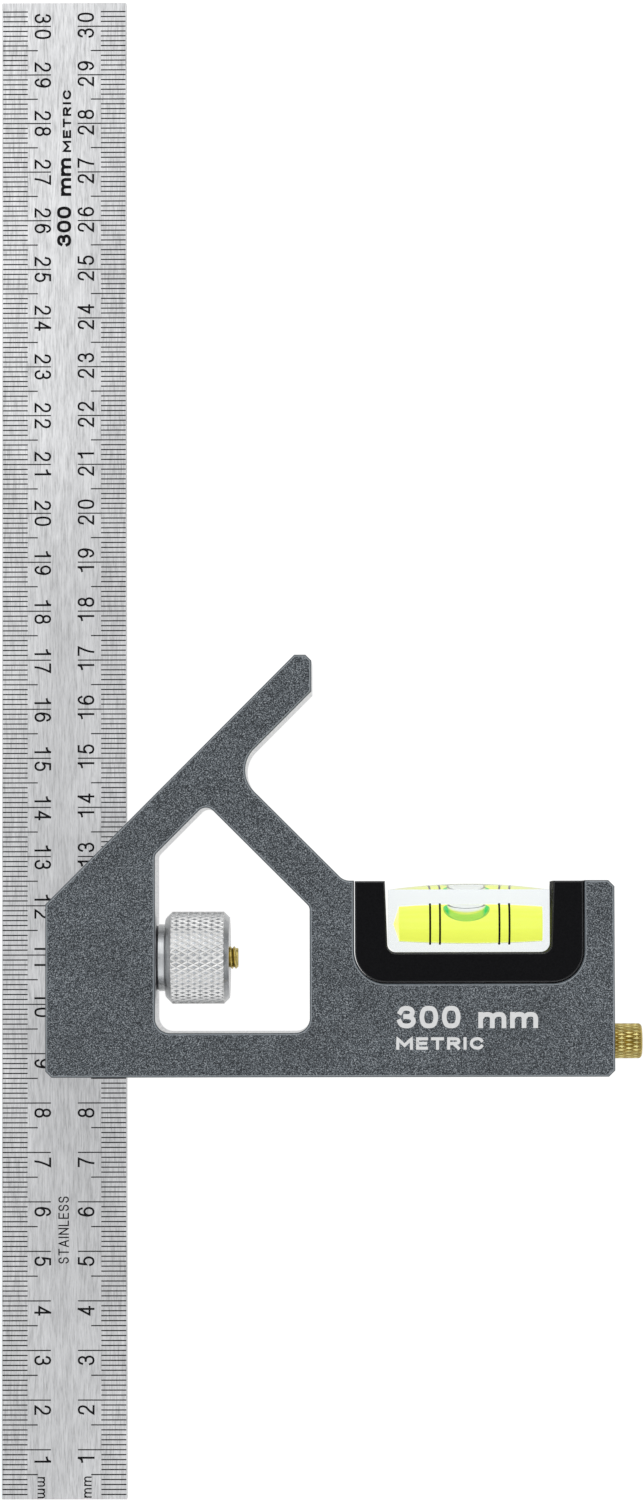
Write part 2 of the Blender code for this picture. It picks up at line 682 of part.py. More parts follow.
def main():
    """Build the whole tool."""
    clear_scene()
    coated = make_material("coated_aluminium", (0.12, 0.13, 0.15), 0.5, 0.3)
    aluminium = make_material("aluminium", (0.75, 0.76, 0.77), 0.3, 1.0)
    stainless = make_material("stainless_steel", (0.62, 0.62, 0.61), 0.35, 1.0)
    spring_steel = make_material("spring_steel", (0.35, 0.35, 0.36), 0.35, 1.0)
    brass = make_material("brass", (0.62, 0.47, 0.18), 0.3, 1.0)
    black_plastic = make_material("black_plastic", (0.012, 0.012, 0.014), 0.4, 0.0)
    clear_acrylic = make_material("clear_acrylic", (0.86, 0.93, 0.96), 0.05, 0.0)
    liquid = make_material("level_liquid", (0.75, 0.95, 0.08), 0.1, 0.0)

    make_stock(coated)
    make_rule(stainless)
    make_lock_bolt(brass)
    make_lock_spring(spring_steel)
    make_lock_washer(spring_steel)
    make_lock_nut(aluminium)
    make_vial_holder(black_plastic)
    make_vial_block(clear_acrylic)
    make_vial_liquid(liquid)
    make_vial_plug(clear_acrylic)
    make_vial_rings(black_plastic)
    make_scriber(brass, stainless)


main()
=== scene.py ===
"""Looks of a combination square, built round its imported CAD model.

Lengths are in millimetres, measured from the lower left back corner of the stock: x runs along
the stock, y runs up along the rule, and z is the height above the stock's back face. place()
turns them into metres in the model's own frame. Sizes that the CAD nodes show are read from
their boxes, and only what a box can't show is written here.
"""

import math

import bmesh
import bpy
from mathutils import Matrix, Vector


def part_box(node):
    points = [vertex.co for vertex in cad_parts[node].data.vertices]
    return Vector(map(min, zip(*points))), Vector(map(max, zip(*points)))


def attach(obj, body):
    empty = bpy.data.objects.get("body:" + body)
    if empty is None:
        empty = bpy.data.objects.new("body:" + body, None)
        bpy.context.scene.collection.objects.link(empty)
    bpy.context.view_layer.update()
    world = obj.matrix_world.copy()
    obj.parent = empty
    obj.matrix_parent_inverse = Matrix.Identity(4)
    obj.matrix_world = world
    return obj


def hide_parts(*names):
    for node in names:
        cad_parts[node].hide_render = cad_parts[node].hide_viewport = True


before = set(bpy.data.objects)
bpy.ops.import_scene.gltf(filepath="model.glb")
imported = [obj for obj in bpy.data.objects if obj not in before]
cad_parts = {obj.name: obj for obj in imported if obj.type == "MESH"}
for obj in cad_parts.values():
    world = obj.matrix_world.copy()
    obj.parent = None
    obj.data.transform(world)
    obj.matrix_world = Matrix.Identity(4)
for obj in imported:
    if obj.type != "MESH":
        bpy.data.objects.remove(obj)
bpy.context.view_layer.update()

MM = 0.001
SQRT2 = math.sqrt(2.0)
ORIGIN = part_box("stock")[0]


def node_box(node):
    """Lowest and highest corner of a CAD node, in millimetres from the stock's corner."""
    low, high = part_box(node)
    return (low - ORIGIN) / MM, (high - ORIGIN) / MM


# Stock.
STOCK_HIGH = node_box("stock")[1]
STOCK_LENGTH = STOCK_HIGH.x
STOCK_THICKNESS = STOCK_HIGH.z
MID_Z = STOCK_THICKNESS / 2.0
BASE_HEIGHT = 39.5
MITRE_TOE_HEIGHT = 34.85
ARM_TOP_HEIGHT = STOCK_HIGH.y
ARM_TIP_X = 53.7
ARM_TIP_CHAMFER = 1.2
ARM_WIDTH = 7.7
FRAME_WIDTH = 8.6
STRUT_FOOT_X = 60.15
STRUT_FOOT_RADIUS = 3.0
ARM_ROOT_RADIUS = 6.0
CORNER_CHAMFER = 1.25
# The coated rim as (depth below the face, distance in from the side).
RIM = ((0.0, 0.40), (0.03, 0.28), (0.25, 0.06), (0.40, 0.0))
WINDOW_LEFT_X = 22.1
WINDOW_RIGHT_X = 53.25
WINDOW_FLOOR_Y = 8.9
WINDOW_FLOOR_RADIUS = 3.0
WINDOW_APEX_RADIUS = 2.0
WINDOW_SHOULDER_RADIUS = 1.5
POCKET_RADIUS = 6.5
POCKET_GAP = 0.2
SLOT_GAP = 0.15
# How far cutters reach past what they cut.
PAST = 2.0
# A face this close to a plane or a radius lies in it.
FACET = 0.01

# Rule.
RULE_LOW, RULE_HIGH = node_box("rule")
RULE_LENGTH = RULE_HIGH.y - RULE_LOW.y
RULE_MID_X = (RULE_LOW.x + RULE_HIGH.x) / 2.0
GROOVE_WIDTH = 3.2
GROOVE_DEPTH = 0.9
RULE_EDGE = 0.12

# Lock.
NUT_LOW, NUT_HIGH = node_box("lock_nut")
BOLT_LOW, BOLT_HIGH = node_box("lock_bolt")
LOCK_Y = (NUT_LOW.y + NUT_HIGH.y) / 2.0
NUT_RADIUS = (NUT_HIGH.y - NUT_LOW.y) / 2.0
NUT_CHAMFER = 1.15
NUT_NECK_RADIUS = 6.8
NUT_NECK_LENGTH = 1.08
NUT_NECK_FILLET = 0.25
NUT_NECK_EDGE = 0.1
NUT_SHOULDER_WIDTH = 0.22
NUT_SHOULDER_STEP = 0.35
NUT_BORE_RADIUS = 2.5
NUT_BORE_EDGE = 0.45
NUT_GAP = 0.02
WASHER_LEFT_X = WINDOW_LEFT_X + 0.04
WASHER_RIGHT_X = WINDOW_LEFT_X + 0.38
WASHER_RADIUS = node_box("lock_washer")[1].y - LOCK_Y
WASHER_EDGE = 0.08
LOCK_BORE_RADIUS = 4.3
LOCK_BORE_END_X = 20.1
SHANK_RADIUS = 2.3
SHANK_HOLE_RADIUS = 2.7
COLLAR_LEFT_X = 17.0
COLLAR_RIGHT_X = 18.0
HOOK_RIGHT_X = RULE_MID_X + GROOVE_WIDTH / 2.0 - SLOT_GAP
THREAD_PITCH = 0.8
THREAD_DEPTH = 0.34
# Where the flank of the thread starts and ends, as shares of the pitch.
THREAD_CREST_END = 0.1
THREAD_ROOT_START = 0.4
THREAD_OVERLAP = 0.2
BOLT_TIP_CHAMFER = 0.45

# Level.
HOLDER_LOW, HOLDER_HIGH = node_box("vial_holder")
BLOCK_LOW, BLOCK_HIGH = node_box("vial_block")
PLUG_LOW, PLUG_HIGH = node_box("vial_plug")
HOLDER_RADIUS = POCKET_RADIUS - POCKET_GAP
BLOCK_GAP = 0.15
SADDLE_FLOOR_Y = BLOCK_LOW.y - BLOCK_GAP
SADDLE_LEFT_X = BLOCK_LOW.x - BLOCK_GAP
SADDLE_RIGHT_X = BLOCK_HIGH.x + BLOCK_GAP
SADDLE_DRAFT = 0.55
SADDLE_INNER_RADIUS = 1.8
SADDLE_EDGE = 0.3
BLOCK_CROWN = 1.2
BLOCK_CORNER_RADIUS = 1.8
VIAL_Y = (PLUG_LOW.y + PLUG_HIGH.y) / 2.0
VIAL_LEFT_X = 71.3
VIAL_RIGHT_X = 100.3
VIAL_MIDDLE_X = 85.6
VIAL_CONE_LENGTH = 1.15
VIAL_MIDDLE_RADIUS = 4.0
VIAL_END_RADIUS = 3.55
# The liquid overlaps its bore by this much, and the bubble keeps as far from the liquid.
WETTED = 0.01
RING_WIDTH = 0.4
RING_EDGE = 0.06
BUBBLE_X = 84.92
BUBBLE_LENGTH = 9.45
BUBBLE_DEPTH = 3.5
# The bubble is longest this far below the bore's top, and its ends round off above that.
BUBBLE_SHOULDER = 0.8
BUBBLE_ROOF = 1.25

# Scriber.
HEAD_LOW, HEAD_HIGH = node_box("scriber_head")
SCRIBER_Y = (HEAD_LOW.y + HEAD_HIGH.y) / 2.0
HEAD_RADIUS = (HEAD_HIGH.y - HEAD_LOW.y) / 2.0
HEAD_ROUNDING = 0.8
# The knurl stops this share of the rounding before the head's end.
HEAD_KNURL_END = 0.45
HEAD_EDGE = 0.15
SOCKET_RADIUS = 1.4
SOCKET_DEPTH = 4.0
NEEDLE_BORE_RADIUS = 1.6
NEEDLE_BORE_END_X = 56.6
BUSH_LEFT_X = node_box("scriber_bush")[0].x
BUSH_SEAT_RADIUS = 2.7

# Marks that are printed on the stock or etched in the rule stand this high above their face.
MARK_HEIGHT = 0.02

# How many sides round things have.
BORE_SEGMENTS = 64
NEEDLE_SEGMENTS = 48
RING_SEGMENTS = 96
ROUND = 2.0 * math.pi
RIGHT_ANGLE = math.radians(90.0)
# Places closer than NEAR are on one level, and outline points closer than SAME_POINT are one.
NEAR = 0.001
SAME_POINT = 1e-6

# Directions on the faces.
RIGHT, LEFT = (1.0, 0.0, 0.0), (-1.0, 0.0, 0.0)
UP, DOWN = (0.0, 1.0, 0.0), (0.0, -1.0, 0.0)
OUT = (0.0, 0.0, 1.0)


# --- Shapes ---

def arc_corner(before, corner, after, radius, steps):
    """Points that round the corner between two straight sides with an arc."""
    corner = Vector(corner)
    to_before = (Vector(before) - corner).normalized()
    to_after = (Vector(after) - corner).normalized()
    half_angle = to_before.angle(to_after) / 2.0
    centre = corner + (to_before + to_after).normalized() * (radius / math.sin(half_angle))
    start = corner + to_before * (radius / math.tan(half_angle)) - centre
    end = corner + to_after * (radius / math.tan(half_angle)) - centre
    sweep = start.angle(end)
    points = []
    for step in range(steps + 1):
        share = step / steps
        weights = [math.sin(part * sweep) / math.sin(sweep) for part in (1.0 - share, share)]
        points.append(centre + start * weights[0] + end * weights[1])
    return points


def rounded_outline(corners, steps=16):
    """Outline from (x, y, radius) corners; a radius of 0 keeps the corner sharp."""
    outline = []
    count = len(corners)
    for index, (x, y, radius) in enumerate(corners):
        if radius == 0.0:
            outline.append(Vector((x, y)))
            continue
        before = corners[index - 1][:2]
        after = corners[(index + 1) % count][:2]
        outline.extend(arc_corner(before, (x, y), after, radius, steps))
    return outline


def bridge(mesh, first, second):
    """Faces between two loops of the same length."""
    for index in range(len(first)):
        following = (index + 1) % len(first)
        mesh.faces.new((first[index], first[following], second[following], second[index]))


def outward(mesh):
    """Turn a closed mesh's faces outwards, and give the mesh back."""
    bmesh.ops.recalc_face_normals(mesh, faces=mesh.faces)
    return mesh


def add_skin(mesh, rows):
    """Add a closed skin over rows of points, with a face at either end."""
    loops = [[mesh.verts.new(point) for point in row] for row in rows]
    mesh.faces.new(loops[0])
    mesh.faces.new(loops[-1])
    for first, second in zip(loops, loops[1:]):
        bridge(mesh, first, second)


def skinned(rows):
    """A closed mesh over rows of points."""
    mesh = bmesh.new()
    add_skin(mesh, rows)
    return outward(mesh)


def prism(outline, low, high, axis="Z"):
    """Extrude a flat outline: along Z from x-y points, or along Y from x-z points."""
    if axis == "Z":
        return skinned([[(x, y, z) for x, y in outline] for z in (low, high)])
    return skinned([[(x, y, z) for x, z in outline] for y in (low, high)])


def bevel_edges(mesh, edges, width, segments):
    """Bevel some edges of a mesh."""
    bmesh.ops.bevel(
        mesh, geom=list(edges), offset=width, segments=segments,
        profile=0.5, affect="EDGES", clamp_overlap=False,
    )


def rim_edges(mesh, levels):
    """Edges that lie in one of the given z levels."""
    def lies_in(edge, level):
        return all(abs(vertex.co.z - level) < NEAR for vertex in edge.verts)

    return [edge for edge in mesh.edges if any(lies_in(edge, level) for level in levels)]


def sharp_edges(mesh, degrees):
    """Edges whose two faces meet at more than an angle."""
    limit = math.radians(degrees)
    return [edge for edge in mesh.edges if len(edge.link_faces) == 2 and edge.calc_face_angle() > limit]


def turned(profile, y, z, segments, ring=False):
    """Turn a profile of (x, radius) points about an axis along x.

    A solid profile starts and ends on the axis; a ring profile is a closed loop round a hole.
    """
    mesh = bmesh.new()
    loops = []
    for x, radius in profile:
        if radius == 0.0:
            loops.append([mesh.verts.new((x, y, z))])
            continue
        loop = []
        for index in range(segments):
            angle = ROUND * index / segments
            loop.append(mesh.verts.new((x, y + radius * math.cos(angle), z + radius * math.sin(angle))))
        loops.append(loop)
    pairs = list(zip(loops, loops[1:]))
    if ring:
        pairs.append((loops[-1], loops[0]))
    for first, second in pairs:
        for index in range(segments):
            following = (index + 1) % segments
            if len(first) == 1:
                mesh.faces.new((first[0], second[index], second[following]))
            elif len(second) == 1:
                mesh.faces.new((first[index], second[0], first[following]))
            else:
                mesh.faces.new((first[index], second[index], second[following], first[following]))
    return outward(mesh)


def new_object(name, data):
    """A new object in the scene."""
    made = bpy.data.objects.new(name, data)
    bpy.context.scene.collection.objects.link(made)
    return made


def combine(mesh, tool, operation="DIFFERENCE"):
    """Cut a closed mesh out of another one, or keep what the two share."""
    holders = []
    for part in (mesh, tool):
        data = bpy.data.meshes.new("working")
        part.to_mesh(data)
        part.free()
        holders.append(new_object("working", data))
    body, cutter = holders
    modifier = body.modifiers.new("combine", "BOOLEAN")
    modifier.operation = operation
    modifier.solver = "EXACT"
    modifier.object = cutter
    bpy.context.view_layer.update()
    result = bmesh.new()
    result.from_object(body, bpy.context.evaluated_depsgraph_get())
    for holder in holders:
        data = holder.data
        bpy.data.objects.remove(holder, do_unlink=True)
        bpy.data.meshes.remove(data)
    return result


def place(name, mesh, materials, body, replaces=(), sharp=30.0):
    """Turn a mesh in millimetres into a piece that rides on a CAD body."""
    for vertex in mesh.verts:
        vertex.co = ORIGIN + vertex.co * MM
    data = bpy.data.meshes.new(name)
    mesh.to_mesh(data)
    mesh.free()
    if sharp:
        data.shade_smooth()
        data.set_sharp_from_angle(angle=math.radians(sharp))
    for material in materials:
        data.materials.append(material)
    piece = new_object(name, data)
    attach(piece, body)
    if replaces:
        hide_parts(*replaces)
    return piece


# --- Materials ---

def add_node(owner, kind, settings=None, **inputs):
    """Add a shader node; an input is a number, a colour or another node's output.

    An input is named as on the node, with _ for a space, or by its place (_0 is the first).
    """
    made = owner.node_tree.nodes.new(kind)
    for name, value in (settings or {}).items():
        setattr(made, name, value)
    for name, value in inputs.items():
        key = int(name[1:]) if name[1:].isdigit() else name.replace("_", " ")
        feed(owner, made.inputs[key], value)
    return made


def feed(owner, socket, value):
    """Set a socket to a value, or link another node's output to it."""
    if isinstance(value, bpy.types.NodeSocket):
        owner.node_tree.links.new(value, socket)
    else:
        socket.default_value = value


def new_material(name, colour, roughness, metallic=0.0, **extra):
    """A Principled material, and its shader node."""
    material = bpy.data.materials.new(name)
    material.use_nodes = True
    shader = material.node_tree.nodes["Principled BSDF"]
    values = {"Base Color": (*colour, 1.0), "Roughness": roughness, "Metallic": metallic, **extra}
    for key, value in values.items():
        shader.inputs[key.replace("_", " ")].default_value = value
    material.diffuse_color = (*colour, 1.0)
    return material, shader


def object_noise(material, scale, detail=2.0, stretch=(1.0, 1.0, 1.0), roughness=0.5):
    """Noise in the piece's own metres, so that it stays put when the piece moves."""
    coords = add_node(material, "ShaderNodeTexCoord")
    mapping = add_node(material, "ShaderNodeMapping", _0=coords.outputs["Object"], Scale=stretch)
    return add_node(
        material, "ShaderNodeTexNoise", _0=mapping.outputs[0], Scale=scale, Detail=detail, Roughness=roughness
    ).outputs["Fac"]


def ramp(owner, value, stops):
    """Colour ramp with (position, colour) stops; a number stands for a grey."""
    made = add_node(owner, "ShaderNodeValToRGB", Fac=value)
    elements = made.color_ramp.elements
    while len(elements) < len(stops):
        elements.new(0.5)
    for element, (position, colour) in zip(elements, stops):
        element.position = position
        element.color = (colour, colour, colour, 1.0) if isinstance(colour, float) else (*colour, 1.0)
    return made.outputs["Color"]


def between(low, high):
    """Ramp stops for noise, which mostly stays between 0.3 and 0.7."""
    return [(0.3, low), (0.7, high)]


def shades(colour, *shares):
    """Darker or lighter kinds of a colour, none brighter than white."""
    return [tuple(min(1.0, channel * share) for channel in colour) for share in shares]


def mixed(owner, first, second, factor, blend="MIX"):
    """Mix two colours."""
    made = add_node(owner, "ShaderNodeMix", {"data_type": "RGBA", "blend_type": blend}, _0=factor)
    for number, value in ((6, first), (7, second)):
        feed(owner, made.inputs[number], (*value, 1.0) if isinstance(value, tuple) else value)
    return made.outputs[2]


def math_node(material, operation, first, second=0.0):
    """One arithmetic step."""
    return add_node(material, "ShaderNodeMath", {"operation": operation}, _0=first, _1=second).outputs[0]


def own_axis(material, output, axis):
    """One axis of the piece's own position (Object) or direction (Normal)."""
    coords = add_node(material, "ShaderNodeTexCoord")
    return add_node(material, "ShaderNodeSeparateXYZ", _0=coords.outputs[output]).outputs[axis]


def finish(material, shader, value, colour=None, roughness=None, relief=None):
    """Drive a shader's colour, roughness and bump from one value; relief is (metres, strength)."""
    for socket, stops in (("Base Color", colour), ("Roughness", roughness)):
        if stops:
            feed(material, shader.inputs[socket], ramp(material, value, stops))
    if relief:
        distance, strength = relief
        made = add_node(material, "ShaderNodeBump", Height=value, Distance=distance, Strength=strength)
        feed(material, shader.inputs["Normal"], made.outputs["Normal"])


def show_mix(material, factor, first, second):
    """Make a material's surface a mix of two shaders."""
    choice = add_node(material, "ShaderNodeMixShader", _0=factor, _1=first.outputs[0], _2=second.outputs[0])
    feed(material, material.node_tree.nodes["Material Output"].inputs["Surface"], choice.outputs[0])


def coated_material():
    """Dark blue-grey hammered powder coat with fine bright and dark specks."""
    material, shader = new_material("coated_stock", (0.09, 0.10, 0.11), 0.45, Specular_IOR_Level=0.35)
    specks = object_noise(material, 4700.0, detail=1.0, roughness=0.6)
    colour = ramp(material, specks, [
        (0.34, (0.008, 0.010, 0.012)),
        (0.45, (0.042, 0.050, 0.057)),
        (0.54, (0.098, 0.112, 0.124)),
        (0.63, (0.215, 0.238, 0.256)),
        (0.72, (0.410, 0.434, 0.450)),
    ])
    clouds = ramp(material, object_noise(material, 90.0, detail=3.0), between(0.86, 1.12))
    feed(material, shader.inputs["Base Color"], mixed(material, colour, clouds, 1.0, "MULTIPLY"))
    finish(material, shader, specks, roughness=between(0.6, 0.36), relief=(0.00003, 0.5))
    return material


def coated_edge_material():
    """The same coat on the chamfers, lighter where they lie nearly flat and dark where they are steep:
    painted highlight and shade.
    """
    material, shader = new_material("coated_edge", (0.2, 0.22, 0.235), 0.34, 0.1)
    # Painted highlight and shade: the chamfer's colour is set by how steeply each of its faces slopes.
    painted_edge_light = ramp(material, math_node(material, "ABSOLUTE", own_axis(material, "Normal", 2)), [
        (0.50, (0.035, 0.040, 0.046)),
        (0.62, (0.150, 0.175, 0.192)),
        (0.80, (0.165, 0.190, 0.208)),
        (0.92, (0.330, 0.355, 0.375)),
    ])
    specks = ramp(material, object_noise(material, 3000.0), between(0.8, 1.15))
    feed(material, shader.inputs["Base Color"], mixed(material, painted_edge_light, specks, 1.0, "MULTIPLY"))
    return material


def plain_material(name, colour, roughness, metallic, noise, colours, gloss=None, relief=None, **extra):
    """A material whose colour, roughness and relief follow one noise between two ends."""
    material, shader = new_material(name, colour, roughness, metallic, **extra)
    value = object_noise(material, *noise)
    finish(material, shader, value, between(*colours), gloss and between(*gloss), relief)
    return material


def milled_material():
    """Bare milled aluminium with cutter marks across the wall."""
    return plain_material(
        "milled_aluminium", (0.80, 0.81, 0.82), 0.3, 1.0, (2600.0, 2.0, (1.0, 1.0, 0.03)),
        ((0.76, 0.77, 0.78), (0.90, 0.90, 0.90)), (0.36, 0.27), (0.000012, 0.6),
    )


def brushed_steel_material():
    """Stainless steel, brushed along the rule, with faint cloudy patches."""
    material, shader = new_material("brushed_steel", (0.7, 0.7, 0.7), 0.38, 1.0)
    fine = object_noise(material, 3400.0, detail=3.0, stretch=(1.0, 0.085, 1.0), roughness=0.7)
    broad = object_noise(material, 900.0, detail=4.0, stretch=(1.0, 0.10, 1.0), roughness=0.7)
    patches = object_noise(material, 60.0, detail=4.0, stretch=(1.0, 0.35, 1.0), roughness=0.6)
    grain = mixed(
        material,
        ramp(material, fine, [(0.30, 0.40), (0.5, 0.72), (0.70, 0.90)]),
        ramp(material, broad, [(0.32, 0.52), (0.68, 0.86)]),
        0.42,
    )
    shade = ramp(material, patches, between(0.90, 1.06))
    feed(material, shader.inputs["Base Color"], mixed(material, grain, shade, 1.0, "MULTIPLY"))
    finish(material, shader, fine, roughness=between(0.46, 0.33), relief=(0.000008, 0.5))
    return material


def aluminium_material(name, colour, roughness):
    """Machined aluminium with fine rings from turning."""
    return plain_material(
        name, colour, roughness, 1.0, (5200.0, 1.0, (1.0, 0.03, 0.03)), shades(colour, 0.93, 1.07),
        (roughness + 0.06, roughness - 0.04), (0.000004, 0.4),
    )


def brass_material(name, colour, roughness):
    """Brass with slight tarnish."""
    return plain_material(
        name, colour, roughness, 1.0, (900.0, 3.0), shades(colour, 0.72, 1.12), (roughness + 0.12, roughness),
    )


def dark_steel_material():
    """Blackened spring steel."""
    colours = (0.03, 0.03, 0.034), (0.09, 0.09, 0.1)
    return plain_material("dark_steel", (0.05, 0.05, 0.055), 0.38, 0.9, (1400.0, 3.0), colours)


def black_plastic_material():
    """Moulded black plastic with a fine matt grain."""
    return plain_material(
        "black_plastic", (0.003, 0.003, 0.0036), 0.42, 0.0, (4200.0,),
        ((0.0018, 0.0018, 0.0024), (0.0045, 0.0045, 0.0055)), (0.75, 0.6), (0.00001, 0.5),
        Specular_IOR_Level=0.1,
    )


def plastic_edge_material():
    """The same plastic on its moulded chamfers, which are glossier and painted a little lighter as a painted
    highlight.
    """
    # Painted highlight: the chamfers' colour is lighter than the plastic's own.
    colours = (0.010, 0.010, 0.011), (0.018, 0.018, 0.020)
    return plain_material(
        "black_plastic_edge", (0.012, 0.012, 0.014), 0.25, 0.0, (4200.0,), colours, Specular_IOR_Level=1.0
    )


def clear_material():
    """Clear acrylic that lamps shine through."""
    tint = (0.905, 0.938, 0.965)
    material, shader = new_material("clear_acrylic", tint, 0.0, IOR=1.49, Transmission_Weight=1.0)
    path = add_node(material, "ShaderNodeLightPath")
    open_air = add_node(material, "ShaderNodeBsdfTransparent", Color=(*tint, 1.0))
    show_mix(material, path.outputs["Is Shadow Ray"], shader, open_air)
    return material


def liquid_material():
    """Yellow-green liquid that glows with painted light, with painted shade along its underside."""
    glow = (0.90, 0.98, 0.12)
    # Painted light: the liquid glows though it is no lamp.
    material, shader = new_material("level_liquid", (0.22, 0.25, 0.03), 0.2, Emission_Strength=0.92)
    colours = between((0.21, 0.24, 0.028), (0.24, 0.27, 0.036))
    finish(material, shader, object_noise(material, 160.0, detail=1.0), colours)
    # Painted shade: the glow darkens where the surface faces down.
    downward = math_node(material, "MULTIPLY", own_axis(material, "Normal", 1), -1.0)
    painted_glow_and_underside_shade = ramp(material, downward, [(0.945, glow), (0.975, (0.38, 0.42, 0.20))])
    feed(material, shader.inputs["Emission Color"], painted_glow_and_underside_shade)
    return material


def bubble_material():
    """The bubble: painted pale inside as a painted reflection, glowing a little with painted light, with the
    meniscus as a green band round its lower edge.
    """
    # Painted light: the bubble glows a little though it is no lamp.
    material, shader = new_material("level_bubble", (0.95, 1.0, 0.95), 0.15, Emission_Strength=0.3)
    centre = ORIGIN + Vector((BUBBLE_X, VIAL_Y + VIAL_MIDDLE_RADIUS, MID_Z)) * MM
    coords = add_node(material, "ShaderNodeTexCoord")

    def ellipse(half_width, depth, stops):
        """Colour by the distance from the middle of the bubble's top, 1 on an ellipse of that size."""
        scaled = add_node(
            material, "ShaderNodeMapping", {"vector_type": "POINT"}, _0=coords.outputs["Object"],
            Location=(-centre.x / (half_width * MM), -centre.y / (depth * MM), 0.0),
            Scale=(1.0 / (half_width * MM), 1.0 / (depth * MM), 0.0),
        )
        distance = add_node(material, "ShaderNodeVectorMath", {"operation": "LENGTH"}, _0=scaled.outputs[0])
        return ramp(material, distance.outputs["Value"], stops)

    offset = math_node(material, "SUBTRACT", own_axis(material, "Object", 0), centre.x)
    distance = math_node(material, "ABSOLUTE", offset)
    sideways = math_node(material, "DIVIDE", distance, BUBBLE_LENGTH * MM / 2.0)
    # Painted reflection: the bubble's middle is painted near white, as the bright light its air pocket
    # reflects.
    colour = ellipse(4.3, 1.75, [
        (0.74, (0.97, 0.98, 0.96)),
        (0.88, (0.92, 0.97, 0.62)),
        (1.00, (0.80, 0.94, 0.13)),
    ])
    ends = ramp(material, sideways, [(0.68, 0.0), (0.80, 1.0)])
    meniscus = mixed(material, (0.46, 0.84, 0.085), (0.05, 0.70, 0.13), ends)
    # Round the hollow: the meniscus, its green rim darkened as painted shade, and the dark arc just below the
    # bubble's top, a painted shadow line.
    for layer, half_width, depth, stops in (
        (meniscus, 4.17, 2.25, [(0.90, 0.0), (0.98, 1.0)]),
        ((0.32, 0.68, 0.08), BUBBLE_LENGTH / 2.0, BUBBLE_DEPTH, [(0.965, 0.0), (0.995, 1.0)]),
        ((0.06, 0.065, 0.07), 4.15, 0.92, [(0.80, 0.0), (0.87, 0.8), (0.94, 0.8), (1.0, 0.0)]),
    ):
        colour = mixed(material, colour, layer, ellipse(half_width, depth, stops))
    for socket in ("Base Color", "Emission Color"):
        feed(material, shader.inputs[socket], colour)
    return material


def mark_material(name, colour, roughness, low=0.85, gloss=0.5):
    """Paint or etched fill with slight unevenness."""
    colours = shades(colour, low, 1.0)
    return plain_material(name, colour, roughness, 0.0, (1800.0,), colours, Specular_IOR_Level=gloss)


# --- Strokes for digits and plain words ---

